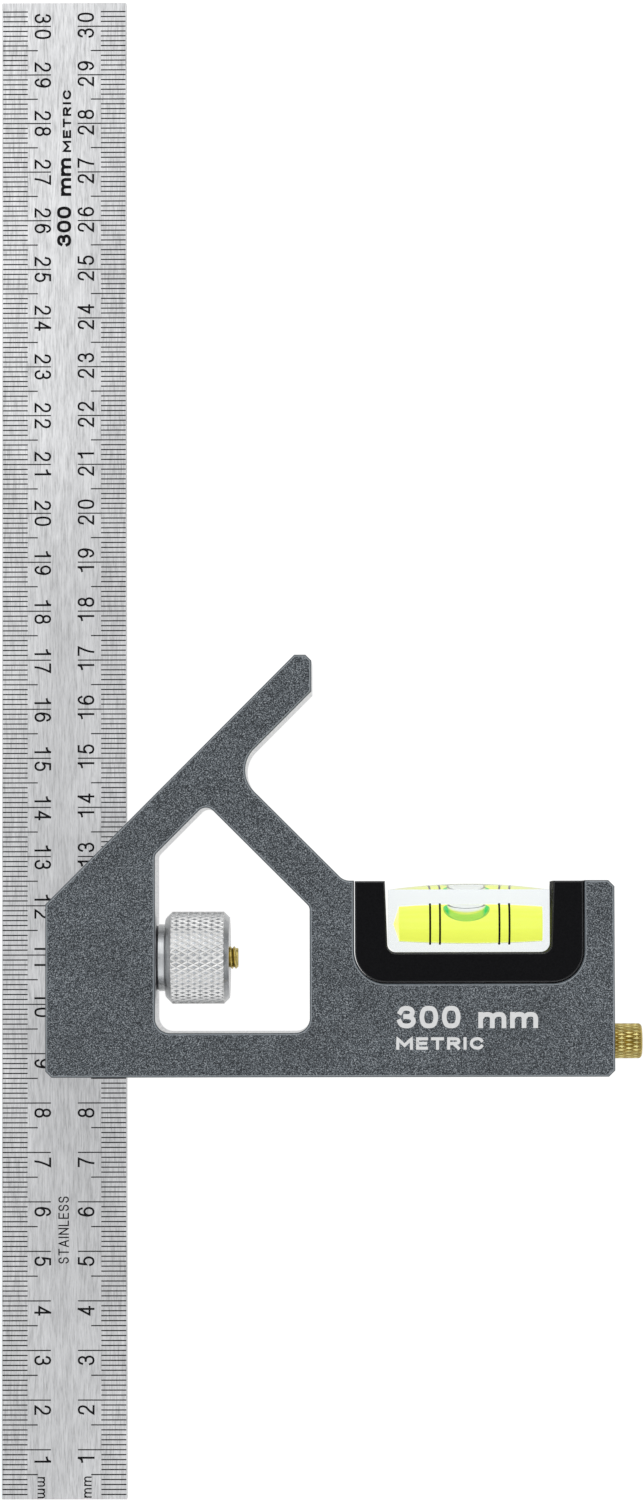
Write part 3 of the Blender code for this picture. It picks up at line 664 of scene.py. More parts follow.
# Each glyph is (width, height, strokes) against a digit's width and height. A stroke is one or more
# runs of (across, up) points, and its runs meet at corners. A run of two points is straight, and a
# longer one is a smooth curve.
SIX = [
    (0.93, 0.80), (0.78, 0.95), (0.5, 1.0), (0.16, 0.86), (0.0, 0.5), (0.02, 0.27), (0.17, 0.07), (0.5, 0.0),
    (0.84, 0.075), (1.0, 0.305), (0.84, 0.53), (0.52, 0.615), (0.22, 0.56), (0.08, 0.44),
]
GLYPHS = {
    "0": (1.0, 1.0, [[[(0.5, 0.0), (0.86, 0.10), (1.0, 0.5), (0.86, 0.90), (0.5, 1.0), (0.14, 0.90),
                       (0.0, 0.5), (0.14, 0.10), (0.5, 0.0)]]]),
    "1": (1.0, 1.0, [[[(0.75, 0.0), (0.75, 1.0)]],
                     [[(0.72, 1.0), (0.63, 0.87), (0.45, 0.80), (0.22, 0.77)]]]),
    "2": (1.0, 1.0, [[[(0.04, 0.70), (0.16, 0.92), (0.5, 1.0), (0.86, 0.93), (0.98, 0.73), (0.84, 0.50),
                       (0.40, 0.28), (0.02, 0.0)], [(0.02, 0.0), (1.0, 0.0)]]]),
    "3": (1.0, 1.0, [[[(0.06, 0.77), (0.20, 0.94), (0.5, 1.0), (0.82, 0.93), (0.93, 0.75), (0.78, 0.57),
                       (0.45, 0.53)]],
                     [[(0.45, 0.53), (0.84, 0.48), (1.0, 0.27), (0.84, 0.065), (0.5, 0.0), (0.15, 0.07),
                       (0.01, 0.25)]]]),
    "4": (1.0, 1.0, [[[(0.74, 0.0), (0.74, 1.0)]], [[(0.74, 1.0), (0.0, 0.27)], [(0.0, 0.27), (1.0, 0.27)]]]),
    "5": (1.0, 1.0, [[[(0.90, 1.0), (0.20, 1.0)], [(0.20, 1.0), (0.07, 0.50)],
                      [(0.07, 0.50), (0.45, 0.635), (0.85, 0.55), (1.0, 0.315), (0.84, 0.07), (0.47, 0.0),
                       (0.14, 0.07), (0.01, 0.23)]]]),
    "6": (1.0, 1.0, [[SIX]]),
    "7": (1.0, 1.0, [[[(0.0, 1.0), (1.0, 1.0)], [(1.0, 1.0), (0.66, 0.60), (0.46, 0.28), (0.38, 0.0)]]]),
    "8": (1.0, 1.0, [[[(0.5, 0.53), (0.83, 0.60), (0.92, 0.77), (0.80, 0.94), (0.5, 1.0), (0.20, 0.94),
                       (0.08, 0.77), (0.17, 0.60), (0.5, 0.53)]],
                     [[(0.5, 0.53), (0.87, 0.46), (1.0, 0.26), (0.85, 0.06), (0.5, 0.0), (0.15, 0.06),
                       (0.0, 0.26), (0.13, 0.46), (0.5, 0.53)]]]),
    "9": (1.0, 1.0, [[[(1.0 - u, 1.0 - v) for u, v in SIX]]]),
    "A": (1.15, 1.0, [[[(0.0, 0.0), (0.5, 1.0)], [(0.5, 1.0), (1.0, 0.0)]], [[(0.24, 0.30), (0.76, 0.30)]]]),
    "C": (1.1, 1.0, [[[(0.96, 0.79), (0.80, 0.95), (0.52, 1.0), (0.14, 0.85), (0.0, 0.5), (0.14, 0.15),
                       (0.52, 0.0), (0.80, 0.05), (0.96, 0.21)]]]),
    "E": (0.95, 1.0, [[[(1.0, 1.0), (0.0, 1.0)], [(0.0, 1.0), (0.0, 0.0)], [(0.0, 0.0), (1.0, 0.0)]],
                      [[(0.1, 0.51), (0.9, 0.51)]]]),
    "I": (0.28, 1.0, [[[(0.5, 0.0), (0.5, 1.0)]]]),
    "L": (0.9, 1.0, [[[(0.0, 1.0), (0.0, 0.0)], [(0.0, 0.0), (1.0, 0.0)]]]),
    "M": (1.35, 1.0, [[[(0.0, 0.0), (0.0, 1.0)], [(0.0, 1.0), (0.5, 0.30)], [(0.5, 0.30), (1.0, 1.0)],
                       [(1.0, 1.0), (1.0, 0.0)]]]),
    "N": (1.1, 1.0, [[[(0.0, 0.0), (0.0, 1.0)], [(0.0, 1.0), (1.0, 0.0)], [(1.0, 0.0), (1.0, 1.0)]]]),
    "R": (1.05, 1.0, [[[(0.0, 0.0), (0.0, 1.0)], [(0.0, 1.0), (0.6, 1.0)],
                       [(0.6, 1.0), (0.92, 0.93), (1.0, 0.745), (0.92, 0.56), (0.6, 0.49)]],
                      [[(0.55, 0.49), (0.1, 0.49)]],
                      [[(0.55, 0.42), (0.98, 0.0)]]]),
    "S": (1.05, 1.0, [[[(0.93, 0.80), (0.78, 0.95), (0.5, 1.0), (0.16, 0.93), (0.04, 0.75), (0.18, 0.58),
                        (0.5, 0.51), (0.84, 0.44), (0.98, 0.26), (0.84, 0.07), (0.5, 0.0), (0.20, 0.06),
                        (0.04, 0.22)]]]),
    "T": (1.05, 1.0, [[[(0.0, 1.0), (1.0, 1.0)]], [[(0.5, 0.0), (0.5, 0.9)]]]),
    "m": (1.5, 0.72, [[[(0.0, 0.0), (0.0, 1.0)]],
                      [[(0.04, 0.74), (0.13, 0.94), (0.28, 1.0), (0.43, 0.94), (0.5, 0.72)],
                       [(0.5, 0.72), (0.5, 0.0)]],
                      [[(0.54, 0.74), (0.63, 0.94), (0.78, 1.0), (0.93, 0.94), (1.0, 0.72)],
                       [(1.0, 0.72), (1.0, 0.0)]]]),
    " ": (0.55, 1.0, []),
}


def smooth_run(points, stroke, steps=6):
    """A run's points: a Catmull-Rom curve, or a straight line that keeps its width up to its ends."""
    if len(points) == 2:
        start, end = points
        longest, strokes = 0.3, 0.9
        reach = min(longest, strokes * stroke / (end - start).length)
        return [start, start.lerp(end, reach), end.lerp(start, reach), end]
    closed = (points[0] - points[-1]).length < SAME_POINT
    before = points[-2] if closed else 2.0 * points[0] - points[1]
    after = points[1] if closed else 2.0 * points[-1] - points[-2]
    guide = [before, *points, after]
    curve = []
    for index in range(1, len(guide) - 2):
        a, b, c, d = guide[index - 1:index + 3]
        for step in range(steps):
            t = step / steps
            curve.append(
                0.5 * (2.0 * b + (c - a) * t + (2.0 * a - 5.0 * b + 4.0 * c - d) * t * t
                       + (3.0 * b - a - 3.0 * c + d) * t * t * t)
            )
    curve.append(points[-1])
    return curve


def text_lines(text, height, stroke, digit_width, gap):
    """Centre lines of a line of text, from the left end of its baseline, and its whole width."""
    lines = []
    across = 0.0
    for character in text:
        wide, tall, strokes = GLYPHS[character]
        room = wide * digit_width - stroke
        rise = tall * height - stroke
        corner = Vector((across + stroke / 2.0, stroke / 2.0))
        for runs in strokes:
            line = []
            for run in runs:
                curve = smooth_run([corner + Vector((u * room, v * rise)) for u, v in run], stroke)
                line.extend(curve[1:] if line else curve)
            lines.append(line)
        across += wide * digit_width + gap
    return lines, across - gap


def add_ribbon(mesh, line, width, height, frame_of):
    """A raised ribbon along a centre line; frame_of turns (across, up, height) into a point.

    It rises by a hair along its way, so that where it crosses itself no two faces coincide.
    """
    half = width / 2.0
    rise = 0.0003
    tightest = 0.55
    closed = (line[0] - line[-1]).length < SAME_POINT
    points = line[:-1] if closed else list(line)
    count = len(points)
    if not closed:
        points[0] = points[0] + (points[0] - points[1]).normalized() * half
        points[-1] = points[-1] + (points[-1] - points[-2]).normalized() * half
    sections = []
    for index, point in enumerate(points):
        before = points[index - 1] if closed or index else None
        after = points[(index + 1) % count] if closed or index < count - 1 else None
        incoming = (point - before).normalized() if before else (after - point).normalized()
        outgoing = (after - point).normalized() if after else incoming
        along = (incoming + outgoing).normalized()
        side = Vector((-along.y, along.x)) * (half / max(tightest, along.dot(incoming)))
        top = height + rise * index
        sections.append([
            mesh.verts.new(frame_of(*(point + side), 0.0)),
            mesh.verts.new(frame_of(*(point + side), top)),
            mesh.verts.new(frame_of(*(point - side), top)),
            mesh.verts.new(frame_of(*(point - side), 0.0)),
        ])
    pairs = list(zip(sections, sections[1:]))
    if closed:
        pairs.append((sections[-1], sections[0]))
    for first, second in pairs:
        bridge(mesh, first, second)
    if not closed:
        mesh.faces.new(sections[0])
        mesh.faces.new(sections[-1])


def add_text(mesh, text, height, stroke, digit_width, gap, corner, right, up, centred=False):
    """Text on a front face: right and up are the reader's directions, and corner is where it starts."""
    lines, whole = text_lines(text, height, stroke, digit_width, gap)
    start, right, up, out = Vector(corner), Vector(right), Vector(up), Vector(OUT)
    if centred:
        start -= right * (whole / 2.0)
    layer = 0.0012
    for number, line in enumerate(lines):
        top = MARK_HEIGHT + layer * (number % 4)
        add_ribbon(mesh, line, stroke, top, lambda x, y, h: start + right * x + up * y + out * h)


# --- Stock ---

def stock_corners():
    """Outer corners of the stock, anticlockwise from its lower left end."""
    arm_lower_rise = MITRE_TOE_HEIGHT - ARM_WIDTH * SQRT2
    strut_sum = STRUT_FOOT_X + BASE_HEIGHT
    arm_root_x = (strut_sum - arm_lower_rise) / 2.0
    pocket_left = HOLDER_LOW.x - POCKET_GAP
    pocket_right = HOLDER_HIGH.x + POCKET_GAP
    pocket_floor = HOLDER_LOW.y - POCKET_GAP
    return [
        (CORNER_CHAMFER, 0.0, 0.0),
        (STOCK_LENGTH - CORNER_CHAMFER, 0.0, 0.0),
        (STOCK_LENGTH, CORNER_CHAMFER, 0.0),
        (STOCK_LENGTH, BASE_HEIGHT - CORNER_CHAMFER, 0.0),
        (STOCK_LENGTH - CORNER_CHAMFER, BASE_HEIGHT, 0.0),
        (pocket_right, BASE_HEIGHT, 0.0),
        (pocket_right, pocket_floor, POCKET_RADIUS),
        (pocket_left, pocket_floor, POCKET_RADIUS),
        (pocket_left, BASE_HEIGHT, 0.0),
        (STRUT_FOOT_X, BASE_HEIGHT, STRUT_FOOT_RADIUS),
        (arm_root_x, strut_sum - arm_root_x, ARM_ROOT_RADIUS),
        (ARM_TIP_X, ARM_TIP_X + arm_lower_rise, 0.0),
        (ARM_TIP_X, ARM_TOP_HEIGHT - ARM_TIP_CHAMFER, 0.0),
        (ARM_TIP_X - ARM_TIP_CHAMFER, ARM_TOP_HEIGHT, 0.0),
        (ARM_TOP_HEIGHT - MITRE_TOE_HEIGHT, ARM_TOP_HEIGHT, 0.0),
        (0.0, MITRE_TOE_HEIGHT, 0.0),
        (0.0, CORNER_CHAMFER, 0.0),
    ]


def window_corners(grow):
    """Corners of the window, moved outwards by grow on every side."""
    left_rise = MITRE_TOE_HEIGHT - (FRAME_WIDTH - grow) * SQRT2
    right_sum = STRUT_FOOT_X + BASE_HEIGHT - (FRAME_WIDTH - grow) * SQRT2
    left = WINDOW_LEFT_X - grow
    right = WINDOW_RIGHT_X + grow
    floor = WINDOW_FLOOR_Y - grow
    apex_x = (right_sum - left_rise) / 2.0
    return [
        (left, floor, WINDOW_FLOOR_RADIUS + grow),
        (right, floor, WINDOW_FLOOR_RADIUS + grow),
        (right, right_sum - right, WINDOW_SHOULDER_RADIUS + grow),
        (apex_x, apex_x + left_rise, WINDOW_APEX_RADIUS + grow),
        (left, left + left_rise, WINDOW_SHOULDER_RADIUS + grow),
    ]


def inset_corners(corners, inset):
    """Corners of an anticlockwise outline with every side moved inwards."""
    moved = []
    count = len(corners)
    for index, (x, y, radius) in enumerate(corners):
        corner = Vector((x, y))
        incoming = (corner - Vector(corners[index - 1][:2])).normalized()
        outgoing = (Vector(corners[(index + 1) % count][:2]) - corner).normalized()
        normals = Vector((-incoming.y - outgoing.y, incoming.x + outgoing.x))
        corner += normals * (inset / (1.0 + incoming.dot(outgoing)))
        hollow = incoming.cross(outgoing) < 0.0
        if radius > 0.0:
            radius += inset if hollow else -inset
        moved.append((corner.x, corner.y, radius))
    return moved


def layered(levels):
    """A closed mesh through (z, corners) levels, mirrored from one face of the stock to the other."""
    levels = levels + [(STOCK_THICKNESS - z, outline) for z, outline in reversed(levels)]
    return skinned([[(*point, z) for point in rounded_outline(corners)] for z, corners in levels])


def stock_blank():
    """The stock's outer shape, with its rim at both faces."""
    corners = stock_corners()
    return layered([(depth, inset_corners(corners, inset)) for depth, inset in RIM])


def window_cutter():
    """The window's through hole, with the rim at both faces."""
    (first_depth, first_inset), (second_depth, second_inset) = RIM[:2]
    past = (2.0 * first_depth - second_depth, 2.0 * first_inset - second_inset)
    return layered([(depth, window_corners(inset)) for depth, inset in (past, *RIM)])


def build_stock(coated, edge, milled):
    """The stock: coated faces, chamfers with painted highlight and shade, and bare metal where a cutter has
    been.
    """
    mesh = combine(stock_blank(), window_cutter())

    low, high = RULE_LOW.z - SLOT_GAP, RULE_HIGH.z + SLOT_GAP
    end = RULE_HIGH.x + SLOT_GAP
    slot = [(-PAST, low), (end, low), (end, high), (-PAST, high)]
    mesh = combine(mesh, prism(slot, -PAST, ARM_TOP_HEIGHT + PAST, axis="Y"))

    wall_end = WINDOW_LEFT_X + PAST
    mesh = combine(mesh, turned([
        (-PAST, 0.0), (-PAST, LOCK_BORE_RADIUS), (LOCK_BORE_END_X, LOCK_BORE_RADIUS),
        (LOCK_BORE_END_X, SHANK_HOLE_RADIUS), (wall_end, SHANK_HOLE_RADIUS), (wall_end, 0.0),
    ], LOCK_Y, MID_Z, BORE_SEGMENTS))
    seat, outside = BUSH_LEFT_X - SLOT_GAP, STOCK_LENGTH + PAST
    mesh = combine(mesh, turned([
        (NEEDLE_BORE_END_X - NEEDLE_BORE_RADIUS / 2.0, 0.0), (NEEDLE_BORE_END_X, NEEDLE_BORE_RADIUS),
        (seat, NEEDLE_BORE_RADIUS), (seat, BUSH_SEAT_RADIUS), (outside, BUSH_SEAT_RADIUS), (outside, 0.0),
    ], SCRIBER_Y, MID_Z, NEEDLE_SEGMENTS))

    rim_depth = RIM[-1][0]
    for face in mesh.faces:
        height = face.calc_center_median().z
        depth = min(height, STOCK_THICKNESS - height)
        face.material_index = 0 if depth < FACET else 1 if depth < rim_depth else 2
    place("stock_body", mesh, [coated, edge, milled], "stock", ["stock"])


# Text, (height, stroke, digit width, gap), and where it starts.
STOCK_WORDS = (
    ("300 mm", (4.5, 0.95, 3.75, 0.75), (70.8, 9.8)),
    ("METRIC", (2.5, 0.62, 2.5, 0.62), (70.6, 5.5)),
)


def build_stock_print(paint):
    """Generic printed marks on the front of the stock: the rule's length and the kind of scale."""
    mesh = bmesh.new()
    for text, style, start in STOCK_WORDS:
        add_text(mesh, text, *style, (*start, STOCK_THICKNESS), RIGHT, UP)
    place("stock_print", outward(mesh), [paint], "stock", sharp=0.0)


# --- Rule ---

def build_rule(steel):
    """The blade, with its groove and slightly broken edges."""
    groove_left = RULE_MID_X - GROOVE_WIDTH / 2.0
    groove_right = RULE_MID_X + GROOVE_WIDTH / 2.0
    low, high, groove = RULE_LOW.z, RULE_HIGH.z, RULE_LOW.z + GROOVE_DEPTH
    section = [
        (RULE_LOW.x, low), (groove_left, low), (groove_left, groove), (groove_right, groove),
        (groove_right, low), (RULE_HIGH.x, low), (RULE_HIGH.x, high), (RULE_LOW.x, high),
    ]
    mesh = prism(section, RULE_LOW.y, RULE_HIGH.y, axis="Y")
    bevel_edges(mesh, sharp_edges(mesh, 30.0), RULE_EDGE, 2)
    place("rule_blade", mesh, [steel], "rule", ["rule"])


TICK_WIDTH = 0.225
TICK_START = 0.16
# How far in from the blade's edge a line ends, for every 1, 5 and 10 mm.
TICK_LENGTHS = {1: 5.22, 5: 7.28, 10: 9.95}
DIGIT_HEIGHT = 3.4
DIGIT_WIDTH = 1.95
DIGIT_STROKE = 0.4
DIGIT_FOOT = 6.6
# Where digits stand beside their line, by side of the blade and number of digits.
DIGIT_OFFSETS = {(-1, 1): (2.0,), (-1, 2): (-1.63, 1.63), (1, 1): (-2.0,), (1, 2): (-1.4, 1.84)}
# Height, stroke, digit width and gap of the units at the blade's end.
UNIT_STYLE = (1.5 / GLYPHS["m"][1], 0.26, 1.28, 0.42)
# Where they start: across from the blade's left or right edge, and along it from its low end.
UNIT_LEFT = (7.27, 4.5)
UNIT_RIGHT = (-7.2, 0.35)
# Text, (height, stroke, digit width, gap), and how far across and along the blade it starts.
RULE_WORDS = (
    ("300 mm", (2.9, 0.62, 2.45, 0.42), (14.1, 254.7)),
    ("METRIC", (1.72, 0.42, 1.72, 0.56), (14.1, 274.1)),
    ("STAINLESS", (2.13, 0.26, 1.26, 0.35), (13.6, 47.5)),
)


def add_tick(mesh, along, length, side):
    """One division line, from the blade's left (-1) or right (1) edge inwards."""
    edge = RULE_LOW.x if side < 0 else RULE_HIGH.x
    start, end = edge - side * TICK_START, edge - side * length
    low, high = along - TICK_WIDTH / 2.0, along + TICK_WIDTH / 2.0
    corners = [(start, low), (end, low), (end, high), (start, high)]
    add_skin(mesh, [[(x, y, z) for x, y in corners] for z in (RULE_HIGH.z, RULE_HIGH.z + MARK_HEIGHT)])


def add_number(mesh, number, line, side):
    """A centimetre's number: read from the blade's left side (-1) or from its right side (1)."""
    if side < 0:
        right, up, foot = DOWN, RIGHT, RULE_LOW.x + DIGIT_FOOT
    else:
        right, up, foot = UP, LEFT, RULE_HIGH.x - DIGIT_FOOT
    for digit, offset in zip(str(number), DIGIT_OFFSETS[side, len(str(number))]):
        corner = (foot, line + right[1] * offset, RULE_HIGH.z)
        add_text(mesh, digit, DIGIT_HEIGHT, DIGIT_STROKE, DIGIT_WIDTH, 0.0, corner, right, up, centred=True)


def rule_scale():
    """Both scales of one face of the blade: divisions, numbers and units."""
    mesh = bmesh.new()
    for millimetre in range(1, int(RULE_LENGTH)):
        along = RULE_LOW.y + millimetre
        kind = 10 if millimetre % 10 == 0 else 5 if millimetre % 5 == 0 else 1
        for side in (-1, 1):
            add_tick(mesh, along, TICK_LENGTHS[kind], side)
            if kind == 10:
                add_number(mesh, millimetre // 10, along, side)
    units = ((RULE_LOW.x, UNIT_LEFT, DOWN, RIGHT), (RULE_HIGH.x, UNIT_RIGHT, UP, LEFT))
    for edge, (across, along), right, up in units:
        start = (edge + across, RULE_LOW.y + along, RULE_HIGH.z)
        add_text(mesh, "mm", *UNIT_STYLE, start, right, up)
    return mesh


def build_rule_marks(ink):
    """The scales on both faces, and generic words along the middle of the front."""
    front = rule_scale()
    for text, style, (across, along) in RULE_WORDS:
        add_text(front, text, *style, (RULE_LOW.x + across, RULE_LOW.y + along, RULE_HIGH.z), UP, LEFT)
    place("rule_scale_front", outward(front), [ink], "rule", sharp=0.0)

    back = rule_scale()
    for vertex in back.verts:
        vertex.co.x = 2.0 * RULE_MID_X - vertex.co.x
        vertex.co.z = RULE_LOW.z + RULE_HIGH.z - vertex.co.z
    place("rule_scale_back", outward(back), [ink], "rule", sharp=0.0)


# --- Lock ---

KNURL_STEPS = 9
KNURL_HALF_WIDTH = 2.0 / KNURL_STEPS
NUT_TEETH = 48
NUT_LEAD = 2.39
NUT_KNURL_DEPTH = 0.17
HEAD_TEETH = 27
HEAD_LEAD = 3.0
HEAD_KNURL_DEPTH = 0.23


def radii(face, y, z):
    """How far a face's corners are from an axis along x."""
    return [math.hypot(vertex.co.y - y, vertex.co.z - z) for vertex in face.verts]


def knurl(mesh, y, z, teeth, lead, depth, start, end, envelope):
    """Press crossed grooves into a turned barrel, between two x positions.

    Each face gets a vertex in its middle, so that grooves of both hands run along edges.
    The envelope is the barrel's and its chamfers' own radius at an x position.
    """
    barrel = [
        face for face in mesh.faces
        if all(start - NEAR < vertex.co.x < end + NEAR for vertex in face.verts)
        and min(radii(face, y, z)) > envelope(start) - depth
    ]
    touched = {vertex for face in barrel for vertex in face.verts}
    poked = bmesh.ops.poke(mesh, faces=barrel)
    touched.update(poked["verts"])
    top = envelope((start + end) / 2.0)
    for vertex in touched:
        angle = math.atan2(vertex.co.z - z, vertex.co.y - y)
        turn = angle / ROUND
        deepest = 0.0
        for hand in (1.0, -1.0):
            phase = teeth * turn + hand * (vertex.co.x - start) / lead
            deepest = max(deepest, 1.0 - abs(phase - round(phase)) / KNURL_HALF_WIDTH)
        radius = min(envelope(vertex.co.x), top - depth * deepest)
        vertex.co.y = y + radius * math.cos(angle)
        vertex.co.z = z + radius * math.sin(angle)
    for face in {face for vertex in touched for face in vertex.link_faces}:
        if all(vertex in touched for vertex in face.verts):
            distances = radii(face, y, z)
            face.material_index = 2 if max(distances) - min(distances) > NEAR else 1


def build_nut(materials):
    """The thumb nut: a polished neck, two smooth chamfers and a diamond knurl between them."""
    neck_end = NUT_LOW.x + NUT_NECK_LENGTH
    face_radius = NUT_RADIUS - NUT_CHAMFER
    chamfer_start = neck_end + NUT_SHOULDER_WIDTH
    chamfer_end = NUT_HIGH.x

    def envelope(x):
        """Radius of the plain nut at an x position on its barrel or its chamfers."""
        return min(NUT_RADIUS, face_radius + (x - chamfer_start), face_radius + (chamfer_end - x))

    knurl_start = chamfer_start + NUT_CHAMFER - NUT_KNURL_DEPTH
    knurl_end = chamfer_end - NUT_CHAMFER + NUT_KNURL_DEPTH
    rows = round((knurl_end - knurl_start) / NUT_LEAD * KNURL_STEPS)
    barrel = [knurl_start + (knurl_end - knurl_start) * row / rows for row in range(rows + 1)]
    half_notch = NUT_KNURL_DEPTH / 2.0
    barrel = sorted([*barrel, knurl_start + half_notch, knurl_end - half_notch])

    neck_start = WASHER_RIGHT_X + NUT_GAP
    profile = [
        (neck_start, NUT_BORE_RADIUS),
        (neck_start, NUT_NECK_RADIUS - NUT_NECK_EDGE),
        (neck_start + NUT_NECK_EDGE, NUT_NECK_RADIUS),
    ]
    fillet_steps = 5
    for step in range(fillet_steps + 1):
        angle = RIGHT_ANGLE * step / fillet_steps
        profile.append((
            neck_end - NUT_NECK_FILLET + NUT_NECK_FILLET * math.sin(angle),
            NUT_NECK_RADIUS + NUT_NECK_FILLET - NUT_NECK_FILLET * math.cos(angle),
        ))
    profile += [(neck_end, face_radius - NUT_SHOULDER_STEP), (chamfer_start, face_radius)]
    profile += [(x, envelope(x)) for x in barrel]
    profile += [
        (chamfer_end, face_radius),
        (chamfer_end, NUT_BORE_RADIUS + NUT_BORE_EDGE),
        (chamfer_end - NUT_BORE_EDGE, NUT_BORE_RADIUS),
    ]
    mesh = turned(profile, LOCK_Y, MID_Z, NUT_TEETH * KNURL_STEPS, ring=True)
    knurl(mesh, LOCK_Y, MID_Z, NUT_TEETH, NUT_LEAD, NUT_KNURL_DEPTH, knurl_start, knurl_end, envelope)
    place("lock_nut_knurled", mesh, materials, "lock_nut", ["lock_nut"], sharp=18.0)


def rounded_ring(left, right, inner, outer, edge, y):
    """A flat ring whose two outer edges are rounded by a small chamfer."""
    return turned([
        (left, inner), (left, outer - edge), (left + edge, outer),
        (right - edge, outer), (right, outer - edge), (right, inner),
    ], y, MID_Z, RING_SEGMENTS, ring=True)


def build_washer(dark_steel):
    """The thin dark washer, with its outer edges rounded."""
    mesh = rounded_ring(WASHER_LEFT_X, WASHER_RIGHT_X, SHANK_HOLE_RADIUS, WASHER_RADIUS, WASHER_EDGE, LOCK_Y)
    place("lock_washer_thin", mesh, [dark_steel], "stock", ["lock_washer"])


def threaded_shank(start, end):
    """A shank along x with a helical thread and a chamfered tip."""
    shares = (THREAD_CREST_END, THREAD_ROOT_START, 1.0 - THREAD_ROOT_START, 1.0 - THREAD_CREST_END)
    flank = THREAD_ROOT_START - THREAD_CREST_END
    turns = int((end - start) / THREAD_PITCH) + 2

    def radius_at(x, turn):
        """Radius of the thread at a place along and round the shank."""
        phase = ((x - start) / THREAD_PITCH - turn) % 1.0
        depth = min((phase - shares[0]) / flank, (shares[3] - phase) / flank, 1.0)
        return min(SHANK_RADIUS - THREAD_DEPTH * max(0.0, depth), SHANK_RADIUS - BOLT_TIP_CHAMFER + (end - x))

    mesh = bmesh.new()
    rows = [number + share for number in range(-1, turns) for share in shares]
    grid = []
    for index in range(BORE_SEGMENTS + 1):
        turn = index / BORE_SEGMENTS
        column = []
        for row in rows:
            x = min(end, max(start, start + (row + turn) * THREAD_PITCH))
            radius = radius_at(x, turn)
            y, z = radius * math.cos(ROUND * turn), radius * math.sin(ROUND * turn)
            column.append(mesh.verts.new((x, LOCK_Y + y, MID_Z + z)))
        grid.append(column)
    for first, second in zip(grid, grid[1:]):
        for row in range(len(rows) - 1):
            mesh.faces.new((first[row], first[row + 1], second[row + 1], second[row]))
    for column in (0, -1):
        centre = mesh.verts.new((start if column == 0 else end, LOCK_Y, MID_Z))
        for first, second in zip(grid, grid[1:]):
            mesh.faces.new((centre, first[column], second[column]))
    weld = 0.0005
    bmesh.ops.remove_doubles(mesh, verts=mesh.verts, dist=weld)
    bmesh.ops.dissolve_degenerate(mesh, edges=mesh.edges, dist=weld)
    return outward(mesh)


def build_bolt(brass, painted_root_shade):
    """The lock bolt: a half-round head with its hook, a collar and a threaded shank."""
    head_radius = (BOLT_HIGH.y - BOLT_LOW.y) / 2.0
    head = turned([
        (BOLT_LOW.x, 0.0), (BOLT_LOW.x, head_radius), (COLLAR_RIGHT_X, head_radius), (COLLAR_RIGHT_X, 0.0),
    ], LOCK_Y, MID_Z, BORE_SEGMENTS)
    flat_z = RULE_LOW.z - SLOT_GAP
    hook_top_z = RULE_LOW.z + GROOVE_DEPTH - SLOT_GAP
    outside = BOLT_LOW.x - PAST / 2.0
    reach = LOCK_BORE_RADIUS + PAST / 2.0
    head = combine(head, prism([
        (COLLAR_LEFT_X, flat_z), (COLLAR_LEFT_X, STOCK_THICKNESS), (outside, STOCK_THICKNESS),
        (outside, hook_top_z), (HOOK_RIGHT_X, hook_top_z), (HOOK_RIGHT_X, flat_z),
    ], LOCK_Y - reach, LOCK_Y + reach, axis="Y"))
    head = combine(head, threaded_shank(COLLAR_RIGHT_X - THREAD_OVERLAP, BOLT_HIGH.x), "UNION")
    # Painted shade: the faces in the thread's roots take a near-black brass, standing for the shade in the
    # grooves.
    for face in head.faces:
        on_thread = COLLAR_RIGHT_X < face.calc_center_median().x < BOLT_HIGH.x - BOLT_TIP_CHAMFER
        if on_thread and max(radii(face, LOCK_Y, MID_Z)) < SHANK_RADIUS - THREAD_DEPTH + 2.0 * FACET:
            face.material_index = 1
    materials = [brass, painted_root_shade]
    place("lock_bolt_threaded", head, materials, "lock_bolt", ["lock_bolt"], sharp=25.0)


# --- Level ---

def build_holder(plastic, edge):
    """The black saddle that fills the pocket, with a chamfer round both faces."""
    outline = rounded_outline([
        (HOLDER_LOW.x, HOLDER_HIGH.y, 0.0),
        (HOLDER_LOW.x, HOLDER_LOW.y, HOLDER_RADIUS),
        (HOLDER_HIGH.x, HOLDER_LOW.y, HOLDER_RADIUS),
        (HOLDER_HIGH.x, HOLDER_HIGH.y, 0.0),
        (SADDLE_RIGHT_X + SADDLE_DRAFT, HOLDER_HIGH.y, 0.0),
        (SADDLE_RIGHT_X, SADDLE_FLOOR_Y, SADDLE_INNER_RADIUS),
        (SADDLE_LEFT_X, SADDLE_FLOOR_Y, SADDLE_INNER_RADIUS),
        (SADDLE_LEFT_X - SADDLE_DRAFT, HOLDER_HIGH.y, 0.0),
    ])
    mesh = prism(outline, HOLDER_LOW.z, HOLDER_HIGH.z)
    bevel_edges(mesh, rim_edges(mesh, (HOLDER_LOW.z, HOLDER_HIGH.z)), SADDLE_EDGE, 1)
    wall, flat = 0.3, 0.95
    for face in mesh.faces:
        face.material_index = 1 if wall < abs(face.normal.z) < flat else 0
    place("vial_saddle", mesh, [plastic, edge], "stock", ["vial_holder"])


def barrel_radius(x):
    """Radius of the vial's bore, widest at its middle."""
    share = (x - VIAL_MIDDLE_X) / ((VIAL_RIGHT_X - VIAL_LEFT_X) / 2.0)
    return VIAL_MIDDLE_RADIUS - (VIAL_MIDDLE_RADIUS - VIAL_END_RADIUS) * share * share


def barrel_profile(grow, stations=32):
    """Profile of the vial's cone and barrel, made larger all round by grow."""
    profile = [(VIAL_LEFT_X - VIAL_CONE_LENGTH - grow, 0.0)]
    for station in range(stations + 1):
        x = VIAL_LEFT_X + (VIAL_RIGHT_X - VIAL_LEFT_X) * station / stations
        profile.append((x, barrel_radius(x) + grow))
    profile.append((VIAL_RIGHT_X, 0.0))
    return profile


